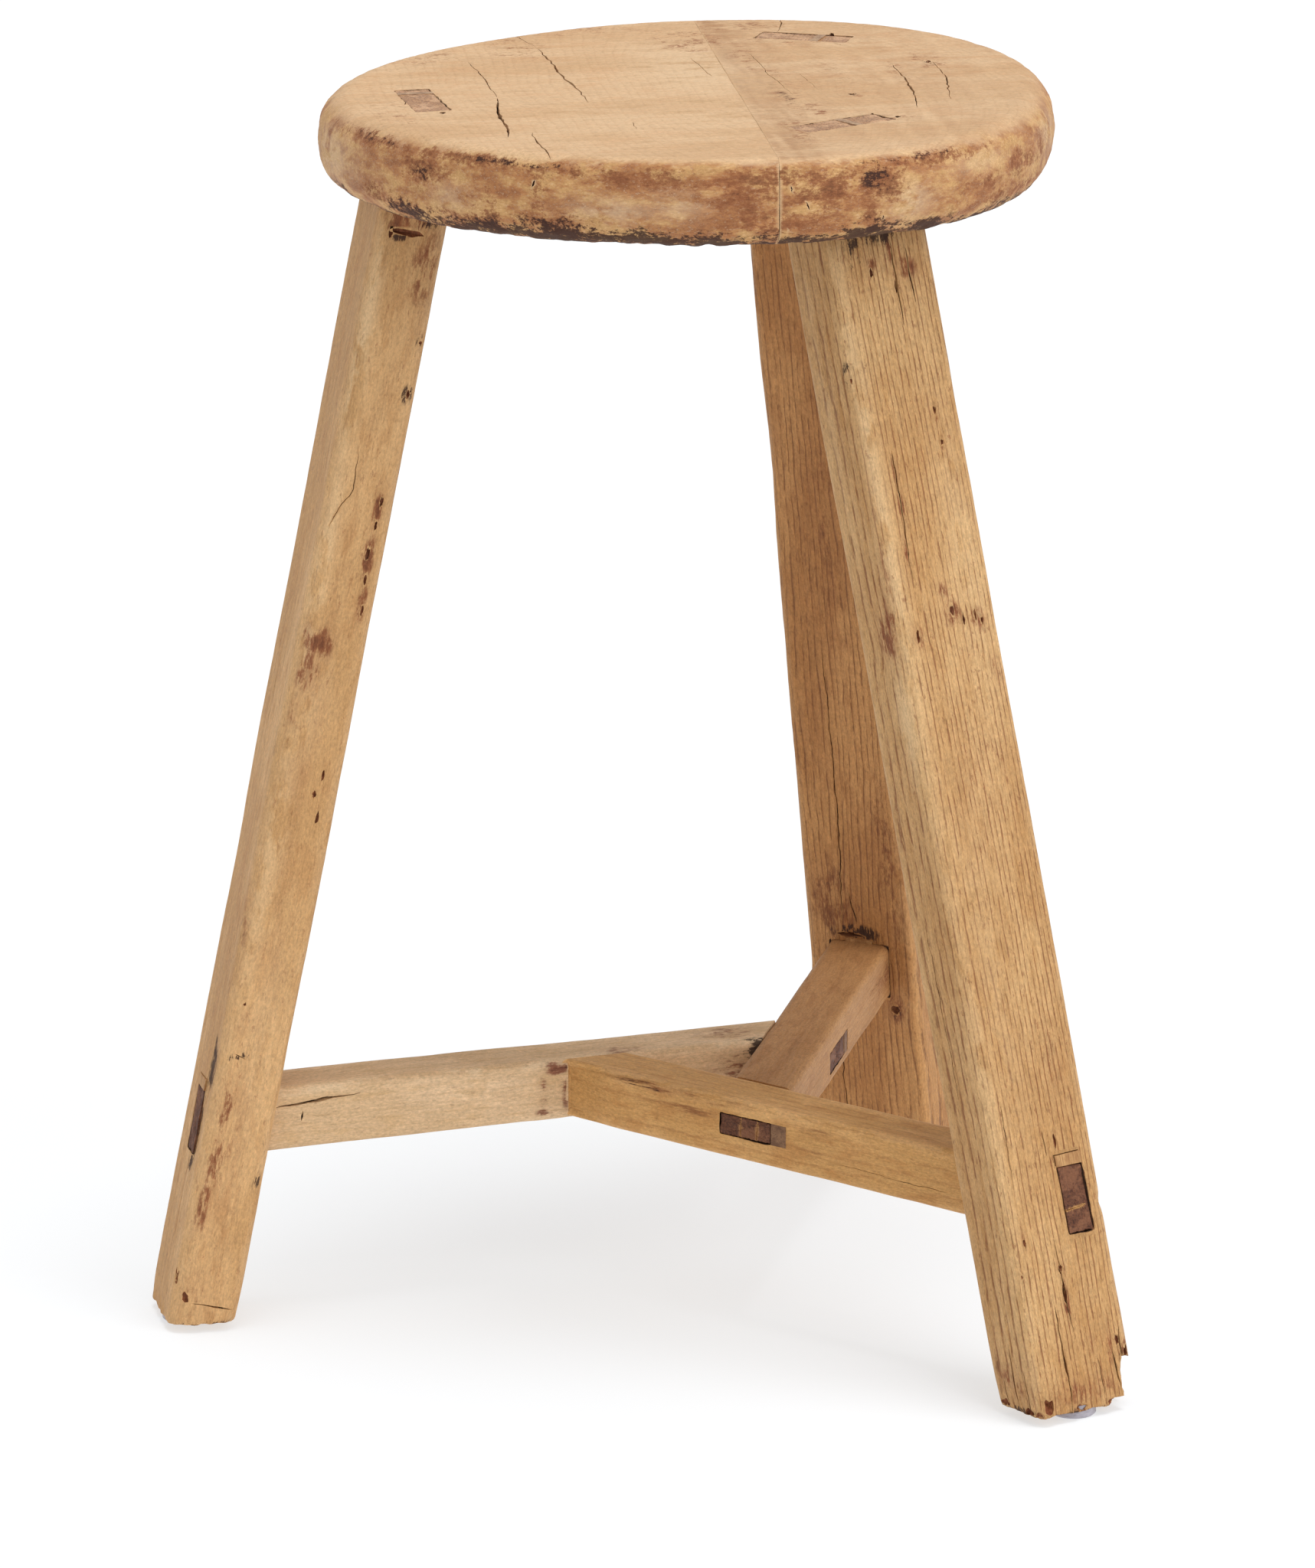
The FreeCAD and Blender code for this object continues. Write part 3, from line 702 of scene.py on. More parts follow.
def stretcher_piece(name, seed):
    """A stretcher and its two tenons, before anything is cut."""
    bar, look = stretchers[name], STRETCHER_FORM[name]
    inner, _, near, far = stretcher_ends(name)
    top = bar.half_y

    def sizes(share):
        at_leg, at_end = look["heights"]
        height = at_leg + (at_end - at_leg) * share
        return np.full(len(share), bar.half_x), height / 2, np.zeros(len(share)), top - height / 2

    inward = np.sign(near[1] - far[1])
    start, end = (inner[0], inner[1] + 0.6), (near[0], near[1] - inward * 0.5)
    grid = timber_grid(bar, start, end, 1.7, 0.85, 3.2, rounding=(0.0, 0.0), caps=(6, 6), sizes=sizes)
    local = bar.local(grid)
    ring = ring_field(local, look["pith"], look["spacing"], look["waver"], seed)
    amount = -STRETCHER_RELIEF * groove(ring, 0.2) + 0.35 * noise(local, (30, 30, 60), seed + 3)
    amount += 0.14 * noise(local, (9, 9, 16), seed + 4) + 0.05 * noise(local, (1.8, 1.8, 5), seed + 6)
    tip = np.abs(grid @ end[0] - end[1])
    ends = np.minimum(np.abs(grid @ start[0] - start[1]), tip)
    amount = amount * (0.15 + 0.85 * smooth(ends, 0.5, 5.0))
    outer_side = smooth(grid_normals(grid) @ bar.x, 0.2, 0.9)
    grid = wear(grid, amount - look["taper"] * outer_side * smooth(tip, 27, 1) * smooth(local[..., 0], 8, 12))
    beside = np.maximum(bar.half_x - np.abs(local[..., 0]), 0)
    below = np.maximum(top - local[..., 1], 0)
    values = {layer: with_poles(spots(local, spec)) for layer, spec in STRETCHER_STAINS[name].items()}
    values["ring"] = with_poles(ring)
    values["edge"] = with_poles(np.exp(-((np.hypot(beside, below) / 3.5) ** 2)))
    points, faces = closed_grid(grid)
    piece = add_object("stretcher_" + name + "_timber", points, faces, values)
    return combine(piece, [tenon_block(name, True, seed), tenon_block(name, False, seed + 1)], "UNION")


# Marks on the stretchers: (x, y, distance from the leg end), extents, strength.
STRETCHER_STAINS = {
    "left": {
        "rust": [
            ((-14, 10.5, 159), (3, 3.2, 6), 1.0), ((-14, 3, 153), (3, 3, 2), 0.7),
            ((-14, -4, 153), (3, 3, 2), 0.7), ((-14, -9, 153), (3, 2, 4), 0.7),
            # the second here, on the -x face near the inner end, is painted shade in the notch where this
            # stretcher meets the back one
            ((0, 14, 240), (10, 3, 18), 0.5), ((-14, 0, 248), (3, 12, 22), 0.6),
            ((-14, -2, 163), (3, 8, 2.5), 0.6), ((-14, 0, 20), (3, 12, 14), 0.3),
            ((-8, 14, 190), (6, 3, 12), 0.5),
        ],
        "dirt": [
            # the second here is painted shade in that same notch
            ((-14, 12, 166), (2, 3, 2.5), 0.9), ((-14, 4, 251), (4, 14, 7), 1.3),
            ((-14, -10, 167), (3, 5, 1.6), 0.9), ((-14, 0, 167.6), (3, 14, 1.0), 0.8),
        ],
    },
    "front": {
        "rust": [
            ((14, 11, 205), (3, 2.6, 40), 0.7), ((14, 5, 200), (3, 2.5, 34), 0.5),
            ((14, -2, 120), (3, 8, 50), 0.3), ((14, 8, 120), (3, 3, 30), 0.4),
            ((14, -10, 60), (3, 4, 40), 0.35),
        ],
        "dirt": [((14, 10, 222), (3, 2, 12), 0.45)],
    },
    "back": {"rust": [((14, 0, 40), (3, 9, 50), 0.5), ((0, 13, 60), (12, 3, 50), 0.08)], "dirt": []},
}


# ---------------------------------------------------------------- seat
seat_low = np.array([min(box[0][k] for box in seat_boxes) for k in range(3)]) / MM
seat_high = np.array([max(box[1][k] for box in seat_boxes) for k in range(3)]) / MM
SEAT_MIDDLE = (seat_low + seat_high) / 2
SEAT_AXIS = SEAT_MIDDLE + np.array([4.1, 0.0, 0.0])
FRONT = -100.0


def seat_outline(angles):
    """The seat's radius from its middle, read from the upright part of the boards' rims."""
    points = np.concatenate([cad_mesh(n)[0] for n in ("seat_board_left", "seat_board_right")])
    offset = points[(points[:, 2] > SEAT_LOW + 14.5) & (points[:, 2] < SEAT_TOP - 9)] - SEAT_MIDDLE
    radius = np.hypot(offset[:, 0], offset[:, 1])
    offset, radius = offset[radius > 130], radius[radius > 130]
    angle = np.degrees(np.arctan2(offset[:, 1], offset[:, 0]))
    order = np.argsort(angle)
    return np.interp(angles, angle[order], radius[order], period=360)


def from_front(angle):
    """Degrees from the seat's front, -180 to 180, positive to the right."""
    return (angle - FRONT + 180) % 360 - 180


# Marks on the rim: (degrees from the front, height), extents, strength.
RIM_STAINS = {
    "rust": [
        ((-43.5, 506), (4.5, 7), 0.85), ((-36, 513.5), (13, 2.4), 1.0), ((-58, 514), (12, 3.2), 1.0),
        ((12, 510), (13, 4), 0.9), ((-20, 512), (8, 3), 0.6), ((-20, 489), (7, 6), 0.8),
        ((-23, 503), (1.5, 13), 0.65), ((-12, 511), (5, 4.5), 0.7), ((-4, 510), (4, 5.5), 0.75),
        ((8, 504), (6, 10), 0.62), ((9, 493), (5, 8), 0.68), ((20, 505), (6, 9), 0.85),
        ((16, 491), (5, 6), 0.7), ((29, 506), (3.4, 8), 1.1), ((27, 491), (1.4, 9), 0.8),
        ((62, 491), (16, 3), 0.75), ((82, 490), (14, 4), 0.55), ((-33, 489), (7, 4), 0.8),
        ((37, 513), (12, 3), 0.85), ((50, 498), (6, 4), 0.6), ((60, 502), (8, 5), 0.7),
        ((72, 504), (7, 6), 0.55), ((-54, 492), (5, 4), 0.7), ((-47, 489), (6, 4), 0.8),
        ((-33, 499), (6, 6), 0.35), ((180, 505), (14, 6), 0.7), ((-140, 500), (10, 8), 0.6),
        ((130, 498), (9, 6), 0.6), ((-95, 497), (9, 5), 0.45), ((100, 500), (8, 6), 0.6),
        ((155, 510), (8, 4), 0.7), ((-115, 512), (12, 3), 0.6), ((-165, 492), (12, 5), 0.7),
        ((115, 490), (10, 5), 0.6),
    ],
    "dirt": [
        ((-31, 484.5), (9, 5), 0.8), ((-20, 485), (8, 6.5), 0.95), ((-9, 484), (8, 5.5), 0.9),
        ((0, 483.5), (6, 5), 0.85), ((8, 483.5), (7, 4.5), 0.8), ((17, 483.5), (6, 4), 0.75),
        ((27, 484.5), (6, 5.5), 0.95), ((38, 484), (8, 4), 0.75), ((-47, 487.5), (5, 4.6), 0.75),
        ((-40, 485), (6, 4), 0.7), ((-43.5, 505), (2.4, 3.5), 0.35), ((28, 508), (2.6, 5), 0.45),
        ((-56, 514), (9, 1.4), 0.35), ((36, 514.5), (13, 1.3), 0.35), ((60, 486), (14, 2.2), 0.6),
        ((84, 487), (8, 2.4), 0.55), ((-70, 488), (8, 2.2), 0.5), ((180, 485), (25, 3), 0.8),
        ((-140, 485), (20, 3), 0.7), ((130, 485), (25, 3), 0.75), ((-100, 486), (15, 3), 0.6),
        ((-28, 513.6), (13, 1.2), 0.4),
    ],
    "pale": [
        ((-70, 501), (10, 12), 0.5), ((34, 497), (4, 8), 0.6), ((78, 506), (8, 9), 0.5),
        ((-12, 497), (7, 5), 0.6), ((-2, 500), (4, 6), 0.5), ((48, 508), (7, 5), 0.4),
        ((-38, 497), (4, 6), 0.4),
    ],
}
# Marks on the top: (x, y) from the seat's axis, extents, strength.
TOP_STAINS = {
    "rust": [
        ((31, 60), (9, 50), 0.25), ((30, -40), (6, 40), 0.25), ((38, -60), (6, 22), 0.28),
        ((62, 20), (8, 30), 0.2), ((87, 20), (5, 34), 0.3), ((104, 35), (7, 22), 0.45),
        ((60, -27), (12, 10), 0.2), ((14, 100), (20, 30), 0.35), ((22, -100), (6, 30), 0.35),
        ((-30, 130), (30, 14), 0.25), ((-60, 100), (14, 40), 0.28), ((45, 128), (26, 10), 0.3),
        ((-100, 80), (30, 22), 0.2), ((-132, -40), (12, 40), 0.25), ((35, 30), (5, 80), 0.22),
        ((68, -78), (9, 6), 0.4), ((60, 95), (26, 12), 0.3),
    ],
    "dirt": [((58.7, -26.7), (2.4, 2.2), 0.8), ((103, 36), (2.5, 6), 0.4), ((31, -30), (3, 14), 0.3)],
    "pale": [((5, 40), (26, 60), 0.6), ((-20, -60), (60, 40), 0.3), ((110, -40), (26, 40), 0.25)],
}


def seat_grid():
    """The seat's surface as rings, from the middle of the underside round the rim to the middle of the top,
    and where each column stands in degrees from the front."""
    around = 640
    angles = np.radians(np.linspace(-180, 180, around, endpoint=False))
    degrees = np.degrees(angles)
    radius = seat_outline(degrees)
    turned = from_front(degrees)
    top_edge = 13.5 - 9.0 * np.exp(-(((turned - 4) / 46) ** 2))
    low_edge = 15.0 - 3.0 * np.exp(-((turned / 50) ** 2))
    quarter = np.radians(np.linspace(0, 90, 14))
    rows = []
    for share in np.linspace(0.012, 1, 26)[:-1]:
        rows.append(((radius - low_edge) * share, np.full(around, SEAT_LOW)))
    for a in quarter:
        rows.append((radius - low_edge * (1 - math.sin(a)), SEAT_LOW + low_edge * (1 - math.cos(a))))
    for share in np.linspace(0, 1, 13)[1:-1]:
        low, high = SEAT_LOW + low_edge, SEAT_TOP - top_edge
        rows.append((radius + 0.5 * math.sin(math.pi * share), low + (high - low) * share))
    for a in np.radians(np.linspace(90, 0, 11)):
        rows.append((radius - top_edge * (1 - math.sin(a)), SEAT_TOP - top_edge * (1 - math.cos(a))))
    for share in np.linspace(1, 0.008, 98)[1:]:
        rows.append(((radius - top_edge) * share, np.full(around, SEAT_TOP)))
    r = np.array([row[0] for row in rows])
    z = np.array([row[1] for row in rows])
    x, y = SEAT_MIDDLE[0] + r * np.cos(angles), SEAT_MIDDLE[1] + r * np.sin(angles)
    return np.stack([x, y, z], axis=-1), turned


# The joint between the boards, from the seat's axis: where it crosses y = 0, and its lean in degrees.
JOINT_X, JOINT_LEAN = 14.5, 4.0
KNOT = (59, -27)


def seat_rings(grid):
    """Ring numbers that draw long nested arches along the boards, bending round the knot."""
    x, y = grid[..., 0] - SEAT_AXIS[0], grid[..., 1] - SEAT_AXIS[1]
    left = np.hypot(x - 30, (y + 20) * 0.3)
    bend = 9 * np.exp(-((x - KNOT[0]) ** 2 + (y - KNOT[1]) ** 2) / 500)
    right = np.abs(x - 30) + bend + 0.002 * (y + 30) ** 2
    # the right board's rings are numbered on from far beyond the left one's
    field = np.where(x < JOINT_X, left, right + 400)
    depth = (SEAT_TOP - grid[..., 2]) * 0.8
    return (field + depth + 3 * noise(grid, (26, 60, 30), 3) + 0.7 * noise(grid, (6, 14, 9), 4)) / 4.2


def seat_blank():
    """The whole worn seat as a grid, before it is parted into boards, and its marks."""
    grid, turned = seat_grid()
    x, y = grid[..., 0] - SEAT_AXIS[0], grid[..., 1] - SEAT_AXIS[1]
    rise = grid_normals(grid)[..., 2]
    rim = smooth(rise, 0.97, 0.55)
    top = (1 - rim) * (grid[..., 2] > SEAT_MIDDLE[2])
    ring = seat_rings(grid)
    amount = 0.3 * noise(grid, (55, 70, 60), 21) - 0.07 * groove(ring, 0.2) * top
    amount += top * (0.10 * noise(grid, (16, 40, 20), 22) + 0.05 * noise(grid, (7, 1.7, 3), 23))
    amount += rim * (0.3 * noise(grid, (22, 22, 14), 24) + 0.22 * noise(grid, (6, 6, 5), 25))
    amount += rim * 0.12 * noise(grid, (2.2, 2.2, 2.2), 26)
    facing = np.exp(-((turned / 75) ** 2))
    low = smooth(grid[..., 2], SEAT_LOW + 9, SEAT_LOW + 1.5) * rim
    amount -= low * (0.4 + facing * 0.8) * (0.5 + 0.5 * noise(grid, (5, 5, 4), 27)) ** 2
    # A band round the rounded top edge: it chips the wood there, and, kept to the front by facing, it is a
    # painted highlight.
    edge = np.exp(-(((rise - 0.72) / 0.25) ** 2)) * (grid[..., 2] > SEAT_MIDDLE[2])
    amount -= 0.5 * edge * np.maximum(noise(grid, (9, 9, 9), 28), 0)
    grid = wear(grid, amount)
    seen = np.stack([np.broadcast_to(turned, x.shape), grid[..., 2]], axis=-1)
    flat = np.stack([x, y], axis=-1)
    # the seat's edge layer is a painted highlight along the front of its top edge
    values = {"ring": with_poles(ring), "rim": with_poles(rim), "edge": with_poles(edge * facing)}
    for layer in ("rust", "dirt", "pale"):
        stained = np.maximum(spots(seen, RIM_STAINS[layer]) * rim, spots(flat, TOP_STAINS[layer]) * top)
        if layer == "dirt":
            # a dark line round the bottom of the rim
            band = 485.5 + 2.5 * np.exp(-(((turned + 22) / 16) ** 2)) + 1.2 * noise(grid, (18, 18, 60), 43)
            band = smooth(grid[..., 2], band + 2.5, band - 2.5) * rim
            stained = np.maximum(stained, band * (0.45 + 0.4 * facing))
        if layer == "rust":
            under = np.maximum(1 - rim - top, 0)
            stained = np.maximum(stained, under * 0.5)
        values[layer] = with_poles(stained)
    # the right board is darker, most of all beside the joint
    lean = math.radians(JOINT_LEAN)
    beside = (x - JOINT_X) * math.cos(lean) - y * math.sin(lean)
    joint = np.exp(-(((beside - 6) / 14) ** 2))
    streaks = 0.25 + 0.3 * noise(grid, (5, 60, 40), 41)
    streaks = streaks + (0.5 + 0.4 * noise(grid, (2.5, 30, 40), 42)) * joint
    values["tone"] = with_poles(smooth(beside, -0.5, 0.5) * np.clip(streaks, 0, 1) * top)
    return grid, values


def seat_half(name, sign, grid, values):
    """One board: the seat less everything on the far side of the joint, which wavers a little."""
    points, triangles = cad_mesh("seat_board_left")
    across = next(n for n in flat_faces(points, triangles) if abs(n[2]) < 0.01 and abs(n[0]) > 0.9)
    across = across * np.sign(across[0])
    along = np.cross(UP, across)
    offset = (points @ across).max()
    s, z = np.linspace(-210, 210, 260), np.linspace(SEAT_LOW - 12, SEAT_TOP + 12, 30)
    face = offset * across + s[:, None, None] * along + z[None, :, None] * UP
    gap = 0.12 + 0.16 * np.maximum(noise(face, (9, 9, 5), 31), 0)
    gap = gap * (0.3 + 0.7 * smooth(face[..., 2], SEAT_TOP, SEAT_TOP - 6))
    shift = 0.2 * noise(face, (30, 30, 30), 32) + 0.07 * noise(face, (3, 3, 3), 33)
    face = face + (shift + sign * gap)[..., None] * across
    back = (offset - sign * 320) * across + s[:, None, None] * along + z[[-1, 0]][None, :, None] * UP
    block = np.concatenate([face, back], axis=1)
    block = block[:, ::-1] if sign > 0 else block
    cut = cutter(*closed_grid(block), 0.45)
    points, faces = closed_grid(grid)
    return add_object("seat_board_" + name + "_timber", points, faces, values), cut


def seat_at(x, y, lift=0.0):
    """A point on the top, from the seat's axis."""
    return SEAT_AXIS * (1, 1, 0) + np.array([x, y, SEAT_TOP + lift])


# Splits in the top: a path of (x, y) from the seat's axis, width and depth.
SEAT_CRACKS = [
    ([(-58, 150), (-56, 124), (-51.5, 96)], 0.5, 2.5),
    ([(-51.5, 94), (-51, 60), (-52, 34), (-50, -2), (-51, -27)], 1.25, 6),
    ([(-85, 70), (-84, 35), (-86, -10)], 0.55, 2.5),
    ([(-86, -12), (-91, -43), (-92, -76), (-95, -92)], 1.5, 7),
    ([(-84, -84), (-85, -108), (-84, -136)], 0.95, 5), ([(62, 150), (60, 132), (54.5, 112)], 0.6, 3),
    ([(88, 34), (87, 4), (84, -30), (79, -60)], 1.1, 5),
    ([(101, 45), (106, 34), (104, 0), (96, -46)], 0.7, 3), ([(131, 15), (143, 18)], 0.5, 2),
    ([(36, -85), (40, -79.5), (47, -78.5)], 0.7, 2.5), ([(43, 111), (30, 113)], 0.5, 2),
    ([(73, 84), (76, 78)], 0.6, 2), ([(-40, -70), (-41, -84)], 0.3, 1.2), ([(8, 60), (9, 20)], 0.3, 1.0),
    ([(34, 70), (33, 20), (35, -30)], 0.35, 1.2), ([(46, 20), (47, -16)], 0.3, 1.0),
]
# Small ragged pits in the top: (x, y), (length, width, depth).
SEAT_PITS = [
    ((58.7, -26.7), (3.6, 3.2, 3)), ((-112.5, -36.5), (4.2, 2.2, 3)), ((-123.6, -10), (15, 0.7, 2)),
    ((76, 102), (9, 2.2, 3)), ((67.5, -77.5), (4, 2.4, 2)), ((58, -72.6), (8, 1.4, 1.8)),
    ((-57, 142), (7, 3.5, 2.2)), ((70, 141.5), (6, 4, 1.6)), ((25, -99), (5, 1.2, 1.2)),
    ((104, 37), (5, 2, 1.2)), ((52, -89), (7, 1.2, 1.4)),
]


# Worm holes in the rim: degrees from the front, height and length.
RIM_PITS = [(14.5, 506, 3), (17, 499, 3.5), (14.2, 489, 2.5), (29, 491, 4), (-24, 506, 3)]


def pit_cutters(pits, dirt, rust):
    """Two cutters, each with every other pit, so that neighbours that touch are cut one after the other."""
    return [cutter(*merge(pits[first::2]), dirt, rust) for first in (0, 1)]


def seat_cuts():
    """The splits, pits and worm holes of the seat."""
    cracks = [crack([seat_at(*p) for p in path], UP, w, d, i) for i, (path, w, d) in enumerate(SEAT_CRACKS)]
    pits = [pit(seat_at(*p, -0.2), UP, (0.2, 1, 0), size, i) for i, (p, size) in enumerate(SEAT_PITS)]
    random = np.random.default_rng(5)
    for turned, z, length in RIM_PITS:
        angle = math.radians(turned + FRONT)
        radius = float(seat_outline(np.array([turned + FRONT]))[0])
        outwards = np.array([math.cos(angle), math.sin(angle), 0.0])
        place = SEAT_MIDDLE * (1, 1, 0) + outwards * (radius - 0.2) + UP * z
        lean = UP + 0.3 * np.cross(UP, outwards) * random.normal()
        pits.append(pit(place, outwards, lean, (length, 0.9, 0.8), int(z)))
    return [cutter(*part) for part in cracks] + pit_cutters(pits, 0.6, 1.0)


# ---------------------------------------------------------------- fitting the pieces together
def box_cutter(bar, start, end, x0, x1, y0, y1, grow, ragged=0.0, dirt=0.8):
    """A plain block of space along a bar, a little larger than what sits in it."""
    shape = block_sizes(x0, x1, y0, y1, grow)
    step = 1.2 if ragged else 8.0
    grid = timber_grid(bar, start, end, step, step, 0.8, rounding=(0.0, 0.0), caps=(2, 2), sizes=shape)
    if ragged:
        grid = wear(grid, ragged * np.maximum(noise(grid, (3, 3, 4), 51), -0.4))
    return cutter(*closed_grid(grid), dirt)


def moved(plane, by):
    return plane[0], plane[1] + by


def ordered(bar, first, second):
    """Two planes in the order the bar meets them."""
    return (first, second) if bar.meets(first) < bar.meets(second) else (second, first)


def joint_cutters(name, at_leg):
    """The mortise and the shallow housing a stretcher needs in the piece it joins."""
    bar = stretchers[name]
    inner, outer, near, far = stretcher_ends(name)
    x0, x1, y0, y1 = tenon_section(name, at_leg)
    first, last = (inner, outer) if at_leg else (near, far)
    inwards = np.sign(last[1] - first[1])
    tenon = ordered(bar, moved(first, -3 * inwards), moved(last, 4 * inwards))
    body = ordered(bar, moved(first, -12 * inwards), moved(first, 0.75 * inwards))
    height = STRETCHER_FORM[name]["heights"][0 if at_leg else 1]
    height = min(height, 2 * bar.half_y)
    top = bar.half_y
    spare = 0 if at_leg else max(STRETCHER_FORM[name]["taper"] - 1.2, 0)
    return [
        box_cutter(bar, *tenon, x0, x1, y0, y1, 0.18, 0.35),
        box_cutter(bar, *body, -bar.half_x, bar.half_x - spare, top - height, top, 0.2, dirt=0.6),
    ]


def short_wedge(name):
    """A cross wedge whose thin end stops inside the host, below the surface its tenon enters by."""
    points, triangles = cad_mesh("cross_wedge_" + name)
    _, _, near, far = stretcher_ends(name)
    inwards = np.sign(far[1] - near[1])
    thin = (points @ near[0] - near[1]) * inwards < 3
    points[thin] += 7 * inwards * near[0]
    return points, triangles


def wedge_cutter(node, plane, shape=None):
    """The slot of a wedge, open past the plane its head is flush with."""
    normal, offset = plane
    piece = swollen_node(node, 0.06, shape)
    for vertex in piece.data.vertices:
        place = np.array(vertex.co) / MM
        if abs(place @ normal - offset) < 0.5:
            vertex.co = (place + normal * 3.0) * MM
    return piece


def on_leg(name, face, across, z):
    """A point on one of a leg's faces ("+x", "-x", "+y" or "-y"), and the direction that face looks in."""
    bar = bodies[name]
    sign = 1.0 if face[0] == "+" else -1.0
    if face[1] == "x":
        return bar.at_height(z, sign * bar.half_x, across), bar.x * sign
    return bar.at_height(z, across, sign * bar.half_y), bar.y * sign


# Splits along a leg: face, path of (across, height), width and depth.
LEG_CRACKS = {
    "left": [
        ("+x", [(5.3, 379), (4.4, 372), (3.9, 361), (9, 353), (12, 342), (12, 326)], 0.5, 2),
        ("+x", [(6.5, 13.5), (-4, 11), (-13, 9)], 0.9, 5), ("+x", [(9, 122), (3, 119)], 1.2, 1.6),
        ("+x", [(13.4, 60), (14, 30), (12, 12)], 0.4, 1.5), ("+y", [(3, 100), (1, 60), (4, 30)], 0.8, 3),
        ("+y", [(-6, 300), (-5, 240)], 0.5, 2), ("-y", [(4, 420), (5, 360)], 0.6, 2.5),
        ("-x", [(2, 90), (1, 30)], 0.7, 3), ("+y", [(13, 118), (12, 96)], 1.3, 2),
        ("+y", [(10, 92), (9, 72)], 1.3, 2),
    ],
    "front": [
        ("+y", [(-9, 48), (-8.5, 20), (-8.8, 3)], 1.1, 6),
        ("+y", [(-3, 74), (-2.6, 50), (-1.8, 36)], 0.8, 4), ("+y", [(16, 26), (17, 10)], 0.8, 4),
        ("+y", [(8, 24), (8.5, 8)], 0.6, 3), ("+y", [(21, 34), (20, 17)], 0.9, 4),
        ("-x", [(1, 30), (0.5, 3)], 1.2, 5), ("-x", [(8, 22), (8, 4)], 0.9, 4),
        ("-x", [(-6, 16), (-6, 4)], 0.7, 3), ("+y", [(-24, 60), (-23, 25)], 0.5, 2),
        ("+y", [(5, 474), (4.5, 440)], 0.8, 2.5), ("+y", [(12, 470), (12, 448)], 0.7, 2),
        ("+y", [(-13, 392), (-13.5, 340)], 0.7, 2), ("-x", [(-3, 200), (-2, 130)], 0.5, 2),
        ("-y", [(5, 300), (4, 180)], 0.8, 3), ("+x", [(0, 420), (1, 330)], 0.7, 3),
        ("+x", [(3, 80), (2, 20)], 0.9, 4), ("+y", [(0.5, 117), (0.8, 107)], 0.7, 2),
        ("+y", [(-18, 130), (-18.4, 96)], 0.4, 1.4),
    ],
    "back": [
        ("-y", [(5, 240), (4, 160), (6, 112)], 0.9, 3), ("-y", [(-8, 420), (-7, 330)], 0.5, 2),
        ("-x", [(2, 60), (1, 12)], 1.0, 4), ("+y", [(6, 320), (4, 200)], 0.9, 3),
        ("+x", [(0, 90), (2, 20)], 0.8, 3), ("-y", [(12, 60), (11, 10)], 0.7, 3),
        ("-y", [(-1, 110), (2, 126)], 0.8, 2),
    ],
}
# Small ragged pits on a leg: face, (across, height), (length, width, depth).
LEG_PITS = {
    "left": [
        ("+x", (2, 467.5), (3, 12, 2.2)), ("+x", (13.5, 460), (7, 3.6, 2)), ("+x", (9, 468), (4.5, 2, 1.4)),
        ("+x", (-12.4, 421), (3.2, 2, 1.6)), ("+x", (-11, 400), (4, 2, 1.4)),
        ("+x", (12.6, 165), (2.4, 1.6, 1.4)), ("+x", (12.3, 160), (2, 1.6, 1.4)),
        ("+x", (12.5, 143), (2, 1.4, 1.2)), ("+x", (8.2, 143), (1.8, 1.4, 1.0)),
        ("+x", (12, 133), (2, 1.4, 1.0)), ("+x", (-13.5, 62), (9, 2, 1.8)), ("+x", (14, 390), (2, 1.4, 1)),
        ("+x", (14.5, 382), (1.6, 1.3, 1)), ("+x", (-8.5, 355), (4, 1.3, 1)), ("+x", (-8, 345), (4, 1.4, 1)),
        ("+x", (-7, 333), (5, 1.6, 1.2)), ("+x", (-8, 322), (4, 1.4, 1)), ("+x", (-9, 310), (5, 1.3, 1)),
        ("+x", (-6, 240), (5, 1.2, 1)), ("+x", (-4, 232), (3, 1.6, 1)), ("+x", (-7, 222), (6, 1.2, 1)),
        ("+x", (10, 16), (5, 4, 2)), ("+x", (14, 12), (6, 4, 3)), ("+y", (18, 24), (9, 3, 2)),
    ],
    "front": [
        ("+y", (3, 326), (4, 1.8, 1.2)), ("+y", (8, 322), (5, 1.2, 1.2)), ("+y", (14, 323), (5, 1.3, 1.2)),
        ("+y", (17, 320), (4, 1.2, 1)), ("+y", (12, 405), (3, 1.6, 1.3)), ("+y", (13, 392), (2.4, 1.4, 1)),
        ("-x", (12.5, 421), (5, 2, 1.5)), ("-x", (13, 440), (3, 1.4, 1)), ("+y", (-2.6, 52), (9, 1.8, 1.8)),
        ("+y", (-2.8, 62), (4, 2, 1.2)), ("+y", (-22, 62), (4, 1.6, 1)), ("+y", (-18, 75), (5, 1.4, 1)),
        ("+y", (23, 22), (8, 3, 3)), ("+y", (19, 29), (4, 1.6, 1.2)), ("+y", (-16, 318), (6, 2, 1.4)),
        ("+y", (-20, 8), (7, 5, 3)), ("+y", (-3, 5), (5, 8, 2)), ("+y", (12, 5), (5, 7, 2)),
        ("-x", (6, 5), (5, 6, 2.4)), ("-x", (-8, 6), (4, 5, 2)), ("+y", (-7, 462), (4, 1.4, 1)),
        ("+y", (4, 455), (5, 1.2, 1)), ("+y", (6, 112), (6, 1.2, 1.2)),
    ],
    "back": [
        ("-y", (-16.6, 71), (4, 3.4, 1.6)), ("-y", (3, 105), (2.6, 12, 3)), ("-x", (-6, 90), (4, 2, 1.2)),
        ("+y", (10, 30), (8, 5, 2)), ("-y", (10, 8), (5, 7, 2)), ("+x", (4, 8), (5, 7, 2)),
        ("-x", (3, 7), (4, 6, 2)), ("+y", (-8, 7), (4, 7, 2)),
    ],
}


# Corners broken from the feet: (x, y, height) and half extents.
CHIPS = {
    "left": [((27, 18, 4), (6, 7, 7))],
    "front": [((27.5, 17, 9.5), (9, 14, 14)), ((28, 16, -3), (17, 17, 11)), ((-29, 18, 2), (8, 9, 6))],
    "back": [((-28, 19, 10), (9, 9, 14))],
}


